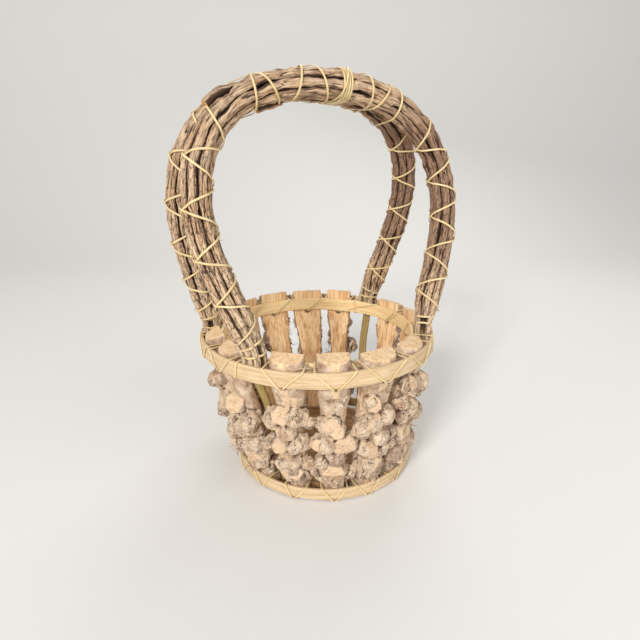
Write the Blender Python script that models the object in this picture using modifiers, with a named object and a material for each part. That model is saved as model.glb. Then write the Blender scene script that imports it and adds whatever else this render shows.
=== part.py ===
"""Foraging basket: a ring of split, knobby root staves stitched with cane between wooden hoops
and round a drilled base board, under a tall double handle of twig bundles laced with cane.

Units are metres and +Z is up. The origin is the centre of the board's underside, on the ground.
"""

import math
import random

import bmesh
import bpy
import numpy as np
from mathutils import Matrix, Vector

# Driving dimensions of the basket's body
RIM_RADIUS = 0.150
RIM_TOP = 0.185
RIM_HOOP_HEIGHT = 0.0187
RIM_HOOP_THICKNESS = 0.0036
RIM_RING_DEPTH = 0.0204
BASE_RADIUS = 0.121
BASE_HOOP_HEIGHT = 0.015
BASE_HOOP_THICKNESS = 0.0036
WALL_LEAN = -0.010
BOARD_THICKNESS = 0.009
CLEARANCE = 0.0003

# Staves, each half of a split root
STAVE_WIDTH = 0.040
STAVE_FOOT_WIDTH = 0.028
STAVE_FOOT_DEPTH = 0.019
STAVE_WALL_DEPTH = 0.017
STAVE_PROUD = 0.012
STAVE_TOP_SLANT = 0.006
KNOB_RADIUS = 0.0165
KNOB_DEPTH = 0.0150
HOOP_MARGIN = 0.006

# Cane strands that stitch the staves to the hoops and the board
STRAND_RADIUS = 0.0011
STRAND_CLEARANCE = 0.0005
DRILL_CLEARANCE = 0.0013
NOTCH_DEPTH = 0.0065

# Handle: two bundles of twigs over flat cores
HANDLE_YAW = math.radians(28)
HANDLE_RISE = 0.286
BELLY_HALF_SPAN = 0.1555
BELLY_RISE_SHARE = 0.5524
ARCH_POWER = 2.3
LEG_EASE = 1.25
TWIG_RADIUS = 0.00475
TWIG_FOOT_DEPTH = 0.015
TWIG_BREAK = 0.003
FOOT_HOLD = 0.004
FOOT_LENGTH = 0.044
FOOT_CLEARANCE = 0.0002
CORE_THICKNESS = 0.0038
CORE_CLEARANCE = 0.0006
BUNDLE_TWIST = math.radians(18)

# Lacing of the handle
LACING_RADIUS = 0.0011
LACING_GAP = 0.0006
LACING_CLEARANCE = 0.0003
LACING_START_RISE = 0.027
LEG_END_SHARE = 0.680
TOP_START_SHARE = 0.805
LEG_TURNS = 5
TOP_TURNS = 4
TIE_TURNS = 4
TIE_PITCH = 0.0032
TIE_SHARE = 0.60

# Faces round and along the forms
HOOP_SIDES = 60
TWIG_COUNT = 7
ARCH_STATIONS = 14
SHORT_TWIG_STATIONS = 3
SHOULDER_STATION = 7
WINDING_STEPS = 8
KNOB_SIDES = 6
KNOB_RINGS = 4
STADIUM_STEPS = 5
ARCH_SAMPLES = 120
GAP_SAMPLES = 6
SHARP_ANGLE = math.radians(40)

# Unevenness of the natural pieces
BARK_SEED = 41
BODY_JITTER_SHARE = 0.07
KNOB_DENT_SHARE = 0.10
TWIG_THIN_SHARE = 0.08
SAW_TILT_SHARES = ((-0.35, 0.35), (-0.10, 0.50))

# Feet of the handle: name, angle round the ring in degrees
FEET = {"left_front": 240.5, "left_rear": 185.0, "right_front": 349.0, "right_rear": 55.5}

# Bundles of the handle: name, left foot, right foot, side of the arch plane
BUNDLES = (
    ("front", "left_front", "right_front", -1),
    ("rear", "left_rear", "right_rear", 1),
)

# Staves: angle at the rim and at the foot in degrees, width share, proud share, then the knobs
# as height share, side share, size share and the share of the radius where it is sawn off (1: whole)
STAVE_SHARES = (
    (12, 13, 0.95, 1.00, ((0.84, -0.5, 0.90, 1), (0.76, 0.8, 0.80, 1), (0.60, 0.1, 1.10, 0.5),
                          (0.44, -0.8, 1.00, 1), (0.32, 0.7, 1.05, 1), (0.13, -0.1, 1.40, 0.7))),
    (35, 34, 1.02, 0.90, ((0.82, 0.4, 0.90, 1), (0.70, -0.8, 0.90, 1), (0.54, 0.6, 1.05, 0.5),
                          (0.43, -0.6, 1.00, 1), (0.29, 0.6, 1.00, 1), (0.13, -0.1, 1.40, 1))),
    (75, 76, 0.90, 1.10, ((0.84, -0.3, 0.90, 1), (0.71, 0.7, 0.80, 1), (0.60, -0.7, 0.95, 0.6),
                          (0.46, 0.5, 1.05, 1), (0.33, -0.6, 1.05, 1), (0.13, 0.1, 1.40, 0.7))),
    (97, 98, 1.15, 1.00, ((0.83, 0.5, 0.95, 1), (0.70, -0.7, 1.00, 0.5), (0.54, 0.6, 1.05, 1),
                          (0.42, -0.7, 0.95, 1), (0.30, 0.6, 0.90, 1), (0.13, 0.0, 1.40, 1))),
    (122, 120, 1.15, 1.05, ((0.84, -0.5, 0.95, 0.5), (0.70, 0.7, 0.95, 1), (0.57, -0.6, 1.05, 1),
                            (0.42, 0.6, 1.00, 0.5), (0.30, -0.7, 0.90, 1), (0.13, 0.0, 1.40, 1))),
    (144, 143, 0.97, 0.95, ((0.83, 0.4, 0.90, 1), (0.69, -0.7, 1.00, 1), (0.54, 0.7, 0.95, 0.5),
                            (0.41, -0.6, 1.00, 1), (0.30, 0.7, 0.85, 1), (0.13, 0.0, 1.35, 0.7))),
    (165, 164, 0.95, 1.00, ((0.84, -0.4, 0.95, 0.5), (0.70, 0.8, 0.90, 1), (0.58, -0.7, 1.00, 1),
                            (0.45, 0.6, 1.05, 1), (0.31, -0.7, 0.95, 1), (0.13, 0.1, 1.35, 1))),
    (204, 207, 0.95, 1.00, ((0.82, 0.9, 0.75, 1), (0.74, -0.7, 0.85, 1), (0.61, 0.5, 1.00, 0.5),
                            (0.46, -0.7, 1.00, 1), (0.32, 0.7, 1.05, 1), (0.13, -0.1, 1.35, 0.7))),
    (222.5, 229, 0.95, 0.75, ((0.68, -0.6, 1.05, 0.4), (0.56, 0.7, 0.95, 1), (0.46, -0.5, 0.95, 1),
                              (0.34, 0.6, 1.00, 1), (0.25, -0.6, 0.95, 1), (0.12, 0.3, 1.25, 1))),
    (255.5, 251.5, 1.00, 1.05, ((0.72, -0.9, 0.90, 0.3), (0.72, 0.9, 0.85, 1), (0.57, -0.1, 0.95, 1),
                                (0.46, 0.9, 0.90, 1), (0.42, -0.9, 0.80, 0.55), (0.22, -0.7, 1.20, 1),
                                (0.15, 0.7, 1.20, 0.7))),
    (278, 275.5, 0.92, 1.15, ((0.66, -0.9, 0.60, 1), (0.60, 0.1, 0.80, 0.6), (0.47, -0.8, 0.85, 1),
                              (0.46, 0.9, 0.85, 0.4), (0.34, 0.1, 0.90, 1), (0.27, -1.0, 0.65, 1),
                              (0.13, 0.1, 1.40, 1))),
    (301, 296, 1.20, 0.85, ((0.80, -0.7, 0.75, 0.4), (0.62, -0.9, 0.95, 1), (0.66, 0.6, 0.90, 1),
                            (0.47, 0.6, 0.95, 1), (0.36, -0.4, 0.90, 0.6), (0.14, 0.0, 1.40, 1))),
    (325, 318, 1.12, 0.80, ((0.84, -0.8, 1.00, 1), (0.80, 0.8, 1.05, 1), (0.62, 0.0, 0.95, 1),
                            (0.52, 1.0, 0.95, 1), (0.40, -0.7, 1.05, 1), (0.27, 0.8, 1.00, 1),
                            (0.13, -0.1, 1.25, 1))),
)

# Section of a stave: side share of its half width, depth share, running round the outer side
SECTION_SHARES = ((-1.0, 0.0), (1.0, 0.0), (1.0, 0.45), (0.70, 0.86), (0.25, 1.0),
                  (-0.25, 1.0), (-0.70, 0.86), (-1.0, 0.45))

# Body of a stave between the hoops: height share, width share, depth share
BODY_SHARES = ((0.05, 0.82, 1.05), (0.45, 0.66, 0.82), (0.76, 0.78, 0.90), (0.93, 1.00, 1.02))

# How far past its body's edge a knob's middle may stand, as a share of its own half width
KNOB_HOLD_SHARE = 0.32

# Heights up the wall up to which knobs may reach over a core, and from which they keep beside it
OVER_CORE_SHARES = (0.62, 0.80)

# Height up the wall to which a core keeps to the wall's inner side
CORE_BEND_SHARE = 0.72

# Places of the twigs in a foot: side and depth, as shares of the twig's room there
FOOT_PLACES = ((0, 1), (-1, 1), (-1, -1), (0, -1), (1, -1), None, (1, 1))

# Surfaces: colour and roughness
BARK = ((0.33, 0.24, 0.17), 0.90)
ROOT = ((0.48, 0.35, 0.22), 0.85)
HOOP_WOOD = ((0.69, 0.51, 0.30), 0.75)
CANE = ((0.77, 0.57, 0.18), 0.50)
CORE_WOOD = ((0.32, 0.22, 0.07), 0.70)
BOARD_WOOD = ((0.50, 0.35, 0.20), 0.80)

STITCH_INSET = STRAND_RADIUS + STRAND_CLEARANCE
BASE_LIFT = STITCH_INSET + STRAND_RADIUS + CLEARANCE
DRILL_RADIUS = STITCH_INSET + STRAND_RADIUS + DRILL_CLEARANCE

RIM_BOTTOM = RIM_TOP - RIM_HOOP_HEIGHT
BASE_HOOP_TOP = BASE_LIFT + BASE_HOOP_HEIGHT
FACET = math.cos(math.pi / HOOP_SIDES)
RIM_SEAT = (RIM_RADIUS - RIM_HOOP_THICKNESS / FACET) * FACET - CLEARANCE
RIM_FACE = RIM_SEAT + CLEARANCE - RIM_RING_DEPTH + CLEARANCE
INNER_HOOP_RADIUS = RIM_FACE - CLEARANCE
BASE_SEAT = (BASE_RADIUS - BASE_HOOP_THICKNESS / FACET) * FACET - CLEARANCE
BASE_FACE = BASE_SEAT - STAVE_FOOT_DEPTH
BOARD_RADIUS = BASE_FACE - CLEARANCE
RING_RADIUS = (RIM_SEAT + RIM_FACE) / 2
WINDING_FACET = math.cos(math.pi / WINDING_STEPS)
BELLY_HEIGHT = RIM_TOP + HANDLE_RISE * BELLY_RISE_SHARE
HANDLE_TOP = RIM_TOP + HANDLE_RISE
BUNDLE_RING = (TWIG_RADIUS + CLEARANCE / 2) / math.sin(math.pi / TWIG_COUNT)
BUNDLE_RADIUS = BUNDLE_RING + TWIG_RADIUS
BUNDLE_TOP_OFFSET = BUNDLE_RADIUS + CLEARANCE / 2
TWIG_FOOT_RADIUS = (RIM_SEAT - RIM_FACE - CORE_THICKNESS - 2 * CLEARANCE - FOOT_CLEARANCE) / 4
FOOT_WIDTH = 6 * TWIG_FOOT_RADIUS + 4 * CLEARANCE
CORE_WIDTH = 2 * math.sqrt((BUNDLE_RING - TWIG_RADIUS - CORE_CLEARANCE) ** 2 - (CORE_THICKNESS / 2) ** 2)
ARCH_U = Vector((math.cos(HANDLE_YAW), math.sin(HANDLE_YAW), 0))
ARCH_N = Vector((-math.sin(HANDLE_YAW), math.cos(HANDLE_YAW), 0))


def clear_scene():
    """Remove whatever the file opened with."""
    for obj in list(bpy.data.objects):
        bpy.data.objects.remove(obj, do_unlink=True)


def new_collection(name):
    collection = bpy.data.collections.new(name)
    bpy.context.scene.collection.children.link(collection)
    return collection


def new_material(name, surface):
    """A Principled BSDF of one colour and roughness."""
    color, roughness = surface
    material = bpy.data.materials.new(name + "_surface")
    material.use_nodes = True
    shader = material.node_tree.nodes["Principled BSDF"]
    shader.inputs["Base Color"].default_value = (*color, 1)
    shader.inputs["Roughness"].default_value = roughness
    shader.inputs["Metallic"].default_value = 0
    material.diffuse_color = (*color, 1)
    return material


def add_object(name, data, collection, surface):
    """Link an object with a material of its own."""
    obj = bpy.data.objects.new(name, data)
    collection.objects.link(obj)
    data.materials.append(new_material(name, surface))
    return obj


def move_to(obj, name, collection):
    """Name a primitive and take it from the scene's own collection to another."""
    obj.name = obj.data.name = name
    for former in obj.users_collection:
        former.objects.unlink(obj)
    collection.objects.link(obj)


def smooth(mesh):
    mesh.shade_smooth()
    mesh.set_sharp_from_angle(angle=SHARP_ANGLE)


def mix(a, b, share):
    return a + (b - a) * share


def ease(share):
    """Smooth step from 0 to 1."""
    share = min(max(share, 0), 1)
    return share * share * (3 - 2 * share)


def wall_share(height):
    """How far up the wall a height is: 0 at the base hoop's top, 1 at the rim hoops' lower edge."""
    return min(max((height - BASE_HOOP_TOP) / (RIM_BOTTOM - BASE_HOOP_TOP), 0), 1)


def wall_point(angle, radius, side, height):
    """A point of the leaning wall: angle in radians, radius, distance sidewards along the ring, height."""
    outward = Vector((math.cos(angle), math.sin(angle), 0))
    sideward = Vector((-math.sin(angle), math.cos(angle), 0))
    lean = Vector((WALL_LEAN * wall_share(height), 0, height))
    return outward * radius + sideward * side + lean


def wall_face(height):
    """Radius of the staves' split inner faces."""
    return mix(BASE_FACE, RIM_FACE, wall_share(height))


# Hoops and board


def build_hoop(name, radius, bottom, height, thickness, centre, parts):
    """A bent wooden band: an open cylinder given its thickness inwards."""
    bpy.ops.mesh.primitive_cylinder_add(vertices=HOOP_SIDES, radius=radius, depth=height,
                                        end_fill_type="NOTHING",
                                        location=(centre, 0, bottom + height / 2))
    obj = bpy.context.object
    move_to(obj, name, parts)
    obj.data.materials.append(new_material(name, HOOP_WOOD))
    smooth(obj.data)
    band = obj.modifiers.new("band", "SOLIDIFY")
    band.thickness = thickness
    band.offset = -1
    band.use_even_offset = True
    return obj


def build_board(staves, parts):
    """The round base board, notched at its edge where the stitches of each stave come up."""
    outline = []
    angles = [stave["foot_angle"] for stave in staves]
    half = DRILL_RADIUS / BOARD_RADIUS
    for angle, after in zip(angles, angles[1:] + [angles[0] + math.tau]):
        floor = BOARD_RADIUS - NOTCH_DEPTH
        outline += [(floor, angle - half), (floor, angle + half)]
        span = after - angle - 2 * half
        steps = round(span * HOOP_SIDES / math.tau)
        outline += [(BOARD_RADIUS, angle + half + span * step / steps) for step in range(steps + 1)]
    curve = bpy.data.curves.new("base_board", "CURVE")
    curve.dimensions = "2D"
    curve.fill_mode = "BOTH"
    curve.extrude = BOARD_THICKNESS / 2
    spline = curve.splines.new("POLY")
    spline.points.add(len(outline) - 1)
    for point, (radius, angle) in zip(spline.points, outline):
        point.co = (radius * math.cos(angle), radius * math.sin(angle), 0, 1)
    spline.use_cyclic_u = True
    board = add_object("base_board", curve, parts, BOARD_WOOD)
    board.location.z = BOARD_THICKNESS / 2
    return board


# Staves


def read_staves():
    """Angles, lanes and half widths of the staves, worked out from the table and the handle's feet."""
    staves = []
    for rim, base, width, proud, knobs in STAVE_SHARES:
        staves.append({"rim_angle": math.radians(rim), "foot_angle": math.radians(base),
                       "width": width * STAVE_WIDTH, "proud": proud * STAVE_PROUD, "knobs": knobs})
    feet = [math.radians(angle) for angle in FEET.values()]
    foot_gaps = {"rim_angle": (FOOT_WIDTH / 2 + CLEARANCE) / RING_RADIUS,
                 "foot_angle": (CORE_WIDTH / 2 + CLEARANCE) / BASE_FACE}
    for key, foot_gap in foot_gaps.items():
        for index, stave in enumerate(staves):
            here = stave[key]
            before = here - (here - staves[index - 1][key]) % math.tau
            after = here + (staves[(index + 1) % len(staves)][key] - here) % math.tau
            for lane, gap in (("_lane", foot_gap), ("_reach", 0)):
                low, high = (before + here) / 2, (here + after) / 2
                for turn in (-math.tau, 0, math.tau):
                    for foot in feet:
                        if before < foot + turn < here:
                            low = foot + turn + gap
                        if here < foot + turn < after:
                            high = foot + turn - gap
                stave[key + lane] = (here - low, high - here)
    return staves


def stave_angle(stave, height):
    """A stave sways from its foot's place to its rim's place up the wall."""
    return mix(stave["foot_angle"], stave["rim_angle"], ease(wall_share(height)))


def lane_room(stave, height, radius, side, lane="_lane"):
    """Free distance sidewards from the stave's middle to its lane's edge; side is -1 or 1."""
    index = 0 if side < 0 else 1
    share = ease(wall_share(height))
    span = mix(stave["foot_angle" + lane][index], stave["rim_angle" + lane][index], share)
    return radius * math.sin(span) - CLEARANCE


def knob_room(stave, height, side):
    """Free distance for a knob, which may reach over a core where the core lies deep in the wall."""
    radius = wall_face(height) + STAVE_WALL_DEPTH / 2
    beside = lane_room(stave, height, radius, side)
    over = lane_room(stave, height, radius, side, "_reach")
    start, end = OVER_CORE_SHARES
    return mix(over, beside, ease((wall_share(height) - start) / (end - start))) - CLEARANCE


def half_widths(stave, height, width):
    """Half widths to both sides at a height, kept inside the lane with room for the stitches."""
    room = STITCH_INSET + STRAND_RADIUS + STRAND_CLEARANCE
    return [min(width / 2, lane_room(stave, height, wall_face(height), side) - room) for side in (-1, 1)]


def body_half_width(stave, height, side):
    """Half width of a stave's plain body towards one side at a height between the hoops."""
    low, high = BASE_HOOP_TOP + HOOP_MARGIN, RIM_BOTTOM - HOOP_MARGIN
    heights, widths, _ = zip(*BODY_SHARES)
    width = float(np.interp((height - low) / (high - low), heights, widths)) * stave["width"]
    return half_widths(stave, height, width)[0 if side < 0 else 1]


def section(stave, height, width, depth, slant=0):
    """One D-shaped section of a stave: flat towards the inside, rounded outwards."""
    left, right = half_widths(stave, height, width)
    face = wall_face(height)
    points = []
    for side, out in SECTION_SHARES:
        point = wall_point(stave_angle(stave, height), face + out * depth,
                           side * (left if side < 0 else right), height)
        points.append(point - Vector((0, 0, slant * out)))
    return points


def loft(sections):
    """A closed body through sections of the same count, from the bottom up."""
    mesh = bmesh.new()
    rings = [[mesh.verts.new(point) for point in ring] for ring in sections]
    for lower, upper in zip(rings, rings[1:]):
        for index in range(len(lower)):
            after = (index + 1) % len(lower)
            mesh.faces.new((lower[index], lower[after], upper[after], upper[index]))
    mesh.faces.new(reversed(rings[0]))
    mesh.faces.new(rings[-1])
    bmesh.ops.recalc_face_normals(mesh, faces=mesh.faces)
    return mesh


def stave_body(stave, noise):
    """The plain body of a stave from its foot, round the hoops' edges, to its sawn top."""
    foot = STAVE_FOOT_WIDTH
    rim_depth = RIM_SEAT - RIM_FACE
    sections = [section(stave, BASE_LIFT, foot, STAVE_FOOT_DEPTH),
                section(stave, BASE_HOOP_TOP, foot, STAVE_FOOT_DEPTH)]
    low, high = BASE_HOOP_TOP + HOOP_MARGIN, RIM_BOTTOM - HOOP_MARGIN
    for height, width, depth in BODY_SHARES:
        jitter = noise.uniform(1 - BODY_JITTER_SHARE, 1 + BODY_JITTER_SHARE)
        sections.append(section(stave, mix(low, high, height), width * jitter * stave["width"],
                                depth * STAVE_WALL_DEPTH / jitter))
    for height in (RIM_BOTTOM, RIM_TOP):
        sections.append(section(stave, height, stave["width"], rim_depth))
    top = RIM_TOP + stave["proud"]
    sections.append(section(stave, top, stave["width"], rim_depth, slant=STAVE_TOP_SLANT))
    return loft(sections)


def add_knob(mesh, centre, angle, radii, sawn, noise):
    """Add one burl, a squashed and dented ball, or a stub sawn off across its outer end."""
    knob = bmesh.new()
    bmesh.ops.create_uvsphere(knob, u_segments=KNOB_SIDES, v_segments=KNOB_RINGS, radius=1)
    bmesh.ops.rotate(knob, matrix=Matrix.Rotation(math.pi / 2, 3, "Y"), verts=knob.verts)
    for vert in knob.verts:
        vert.co *= 1 - noise.uniform(0, KNOB_DENT_SHARE)
    turn = Matrix.Rotation(noise.uniform(0, math.tau), 4, "X")
    bmesh.ops.transform(knob, matrix=turn, verts=knob.verts)
    if sawn < 1:
        across = Vector((1, *(noise.uniform(*shares) for shares in SAW_TILT_SHARES))).normalized()
        cut = bmesh.ops.bisect_plane(knob, geom=knob.verts[:] + knob.edges[:] + knob.faces[:],
                                     plane_co=across * sawn, plane_no=across, clear_outer=True)
        rim = [item for item in cut["geom_cut"] if isinstance(item, bmesh.types.BMEdge)]
        bmesh.ops.edgeloop_fill(knob, edges=rim)
        bmesh.ops.recalc_face_normals(knob, faces=knob.faces)
    place = Matrix.Translation(centre) @ Matrix.Rotation(angle, 4, "Z") @ Matrix.Diagonal((*radii, 1))
    bmesh.ops.transform(knob, matrix=place, verts=knob.verts)
    copies = {vert: mesh.verts.new(vert.co) for vert in knob.verts}
    for face in knob.faces:
        mesh.faces.new([copies[vert] for vert in face.verts])
    knob.free()


def stave_knobs(stave, noise):
    """All burls and stubs of one stave, on its outer side and inside its lane."""
    mesh = bmesh.new()
    for height_share, side_share, size, sawn in stave["knobs"]:
        radius = size * KNOB_RADIUS
        low = BASE_HOOP_TOP + HOOP_MARGIN + radius
        high = RIM_BOTTOM - HOOP_MARGIN - radius
        height = min(max(mix(BASE_HOOP_TOP, RIM_BOTTOM, height_share), low), high)
        rooms = [knob_room(stave, height + rise, side) for rise in (-radius, 0, radius) for side in (-1, 1)]
        left, right = min(rooms[::2]), min(rooms[1::2])
        across = min(radius, (left + right) / 2)
        hold = body_half_width(stave, height, side_share) + KNOB_HOLD_SHARE * across
        wished = min(max(side_share * STAVE_WIDTH / 2, -hold), hold)
        side = min(max(wished, across - left), right - across)
        depth = min(radius, KNOB_DEPTH)
        angle = stave_angle(stave, height)
        centre = wall_point(angle, wall_face(height) + STAVE_WALL_DEPTH - CLEARANCE, side, height)
        add_knob(mesh, centre, angle, (depth, across, radius), sawn, noise)
    bmesh.ops.recalc_face_normals(mesh, faces=mesh.faces)
    return mesh


def to_mesh(mesh, name):
    data = bpy.data.meshes.new(name)
    mesh.to_mesh(data)
    mesh.free()
    return data


def hide_cutter(obj):
    obj.hide_render = True
    obj.display_type = "WIRE"


def stitch_height():
    """Height of the stitches just under the rim hoops, where the staves are drilled."""
    return RIM_BOTTOM - STITCH_INSET


def build_stave(number, stave, parts, cutters):
    """One split root: body and knobs in one piece, drilled under the hoops for its stitches."""
    name = f"stave_{number:02d}"
    noise = random.Random(BARK_SEED * number)
    obj = add_object(name, to_mesh(stave_body(stave, noise), name), parts, ROOT)
    burls = to_mesh(stave_knobs(stave, noise), name + "_knobs")
    knobs = add_object(name + "_knobs", burls, cutters, ROOT)
    hide_cutter(knobs)
    angle = stave["rim_angle"]
    middle = wall_point(angle, RING_RADIUS, 0, stitch_height())
    bpy.ops.mesh.primitive_cylinder_add(vertices=WINDING_STEPS, radius=DRILL_RADIUS,
                                        depth=RIM_RING_DEPTH * 2, location=middle,
                                        rotation=(0, math.pi / 2, angle))
    drill = bpy.context.object
    move_to(drill, name + "_drill", cutters)
    hide_cutter(drill)
    grow = obj.modifiers.new("knobs", "BOOLEAN")
    grow.operation = "UNION"
    grow.object = knobs
    grow.use_self = True
    bore = obj.modifiers.new("drill", "BOOLEAN")
    bore.operation = "DIFFERENCE"
    bore.object = drill
    smooth(obj.data)
    return obj


# Cane strands


def add_strand(curve, points, cyclic=False):
    spline = curve.splines.new("POLY")
    spline.points.add(len(points) - 1)
    for target, point in zip(spline.points, points):
        target.co = (*point, 1)
    spline.use_cyclic_u = cyclic


def new_cane(name, radius):
    """A curve for strands of split cane."""
    curve = bpy.data.curves.new(name, "CURVE")
    curve.dimensions = "3D"
    curve.bevel_depth = radius
    curve.bevel_resolution = 0
    curve.use_fill_caps = True
    return curve


def build_rim_lashing(staves, parts):
    """One strand round the rim: twice through each stave's hole, and over both hoops beside it."""
    curve = new_cane("rim_lashing", STRAND_RADIUS)
    outside = RIM_RADIUS + STITCH_INSET
    inside = (INNER_HOOP_RADIUS - RIM_HOOP_THICKNESS) * FACET - STITCH_INSET
    low, high = stitch_height(), RIM_TOP + STITCH_INSET
    middle = (low + high) / 2
    points = []
    for index, stave in enumerate(staves):
        angle = stave["rim_angle"]
        tip = STITCH_INSET / RING_RADIUS
        left, right = (half + STITCH_INSET for half in half_widths(stave, RIM_TOP, stave["width"]))
        following = staves[(index + 1) % len(staves)]["rim_angle"] % math.tau
        edge = angle + right / RIM_FACE
        halfway = edge + ((following - tip - edge) % math.tau) / 2
        for way, over in ((-1, angle - left / RIM_FACE), (1, edge)):
            through = angle + way * tip
            points += [wall_point(through, inside, 0, low),
                       wall_point(through, outside, 0, low),
                       wall_point((through + over) / 2, outside, 0, middle),
                       wall_point(over, outside, 0, high),
                       wall_point(over, inside, 0, high)]
        points.append(wall_point(halfway, inside, 0, middle))
    add_strand(curve, points, cyclic=True)
    return add_object("rim_lashing", curve, parts, CANE)


def build_base_lashing(staves, parts):
    """One strand round the base: twice under each stave's foot and up its notch, and over the base hoop."""
    curve = new_cane("base_lashing", STRAND_RADIUS)
    outside = BASE_RADIUS + STITCH_INSET
    inside = BOARD_RADIUS - STITCH_INSET
    low, high = BASE_LIFT - STITCH_INSET, BASE_HOOP_TOP + STITCH_INSET
    board_top = BOARD_THICKNESS + STITCH_INSET
    points = []
    for stave in staves:
        angle = stave["foot_angle"]
        tip = STITCH_INSET / BASE_SEAT
        left, right = (half + STITCH_INSET
                       for half in half_widths(stave, BASE_HOOP_TOP, STAVE_FOOT_WIDTH))
        for way, over in ((-1, angle - left / BASE_FACE), (1, angle + right / BASE_FACE)):
            through = angle + way * tip
            points += [wall_point(through, inside, 0, board_top),
                       wall_point(through, inside, 0, low),
                       wall_point(through, outside, 0, low),
                       wall_point((through + over) / 2, outside, 0, (low + high) / 2),
                       wall_point(over, outside, 0, high),
                       wall_point(over, inside, 0, high)]
    add_strand(curve, points, cyclic=True)
    return add_object("base_lashing", curve, parts, CANE)


# Handle


def foot_place(foot):
    """Where a foot's middle line stands in the arch's own directions: along its span, and across it."""
    angle = math.radians(FEET[foot]) - HANDLE_YAW
    return RING_RADIUS * math.cos(angle), RING_RADIUS * math.sin(angle)


def foot_height():
    """Height of the twigs' ends, inside the rim hoops."""
    return RIM_TOP - TWIG_FOOT_DEPTH


def arch_line(left_foot, right_foot, side):
    """Smooth middle line of a bundle, from its left foot over the top to its right foot.

    A leg stands straight between the hoops, eases out to the belly, and a superellipse closes the top.
    """
    rise = RIM_TOP + FOOT_HOLD
    ends = {-1: foot_place(left_foot), 1: foot_place(right_foot)}
    legs = {}
    for way, (foot_u, _) in ends.items():
        legs[way] = [(foot_u, foot_height(), way)]
        for index in range(ARCH_SAMPLES):
            share = index / ARCH_SAMPLES
            out = math.sin(math.pi / 2 * share ** LEG_EASE)
            span = mix(foot_u, way * BELLY_HALF_SPAN, out)
            legs[way].append((span, mix(rise, BELLY_HEIGHT, share), way))
    line = list(legs[-1])
    for index in range(2 * ARCH_SAMPLES + 1):
        turn = math.pi * (1 - index / (2 * ARCH_SAMPLES))
        cosine, sine = math.cos(turn), math.sin(turn)
        span = BELLY_HALF_SPAN * math.copysign(abs(cosine) ** (2 / ARCH_POWER), cosine)
        height = mix(BELLY_HEIGHT, HANDLE_TOP, abs(sine) ** (2 / ARCH_POWER))
        line.append((span, height, -1 if cosine < 0 else 1))
    line += reversed(legs[1])
    points = []
    for span, height, way in line:
        share = max(0, (height - rise) / (HANDLE_TOP - rise))
        across = mix(ends[way][1], side * BUNDLE_TOP_OFFSET, share)
        points.append(ARCH_U * span + ARCH_N * across + Vector((WALL_LEAN, 0, height)))
    return np.array(points)


class Path:
    """A bundle's middle line at its stations, with a frame at each: outwards and sidewards.

    All that follows the line is set out between the same stations, so what is clear there stays clear.
    """

    def __init__(self, line):
        lengths = np.linalg.norm(np.diff(line, axis=0), axis=1)
        along = np.concatenate([[0], np.cumsum(lengths)])
        hold = TWIG_FOOT_DEPTH + FOOT_HOLD
        foot = [0, hold, hold + FOOT_LENGTH / 2]
        high = along[-1] - hold - FOOT_LENGTH
        middle = list(np.linspace(hold + FOOT_LENGTH, high, ARCH_STATIONS))
        self.at = np.array(foot + middle + [along[-1] - distance for distance in reversed(foot)])
        self.length = self.at[-1]
        self.points = self.read(line, along, self.at)
        tangents = self.read(np.gradient(line, along, axis=0), along, self.at)
        self.outward, self.sideward = [], []
        for point, tangent in zip(self.points, tangents):
            along_line = Vector(tangent).normalized()
            hub = Vector((WALL_LEAN, 0, min(point[2], BELLY_HEIGHT)))
            outward = Vector(point) - hub
            outward = (outward - along_line * outward.dot(along_line)).normalized()
            self.outward.append(outward)
            self.sideward.append(along_line.cross(outward))
        self.outward, self.sideward = np.array(self.outward), np.array(self.sideward)

    @staticmethod
    def read(values, at, wanted):
        return np.stack([np.interp(wanted, at, values[:, axis]) for axis in range(3)], axis=-1)

    def frame(self, distance):
        """Point, outward and sideward directions at a distance from the start."""
        return [Vector(self.read(values, self.at, distance))
                for values in (self.points, self.outward, self.sideward)]

    def distance_at(self, height, way):
        """Distance where the line passes a height on its left leg (-1) or its right leg (1)."""
        top = int(np.argmax(self.points[:, 2]))
        if way < 0:
            return float(np.interp(height, self.points[:top, 2], self.at[:top]))
        return float(np.interp(-height, -self.points[top:, 2], self.at[top:]))


def twig_place(index, path, distance):
    """Side and outward offset of a twig, round the core or squeezed flat at a foot, and how round it is."""
    turn = math.tau * index / TWIG_COUNT
    turn += BUNDLE_TWIST * math.sin(math.pi * distance / path.length) ** 2
    round_side, round_out = -math.sin(turn) * BUNDLE_RING, math.cos(turn) * BUNDLE_RING
    place = FOOT_PLACES[index]
    end = min(distance, path.length - distance)
    share = ease((end - TWIG_FOOT_DEPTH - FOOT_HOLD) / FOOT_LENGTH)
    if place is None:
        return round_side, round_out, share
    foot_side = place[0] * (2 * TWIG_FOOT_RADIUS + CLEARANCE)
    foot_out = place[1] * (CORE_THICKNESS / 2 + CLEARANCE + TWIG_FOOT_RADIUS)
    return mix(foot_side, round_side, share), mix(foot_out, round_out, share), share


def build_twig(name, index, path, distances, parts):
    """One barky twig through the given distances along the handle, thick and thin from knot to knot."""
    noise = random.Random(f"{name} {BARK_SEED}")
    curve = bpy.data.curves.new(name, "CURVE")
    curve.dimensions = "3D"
    curve.bevel_depth = TWIG_RADIUS
    curve.bevel_resolution = 1
    curve.use_fill_caps = True
    spline = curve.splines.new("POLY")
    spline.points.add(len(distances) - 1)
    for distance, target in zip(distances, spline.points):
        side, out, share = twig_place(index, path, distance)
        point, outward, sideward = path.frame(distance)
        target.co = (*(point + outward * out + sideward * side), 1)
        full = mix(TWIG_FOOT_RADIUS / TWIG_RADIUS, 1, share * share)
        target.radius = full * (1 - noise.uniform(0, TWIG_THIN_SHARE))
    return add_object(name, curve, parts, BARK)


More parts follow.
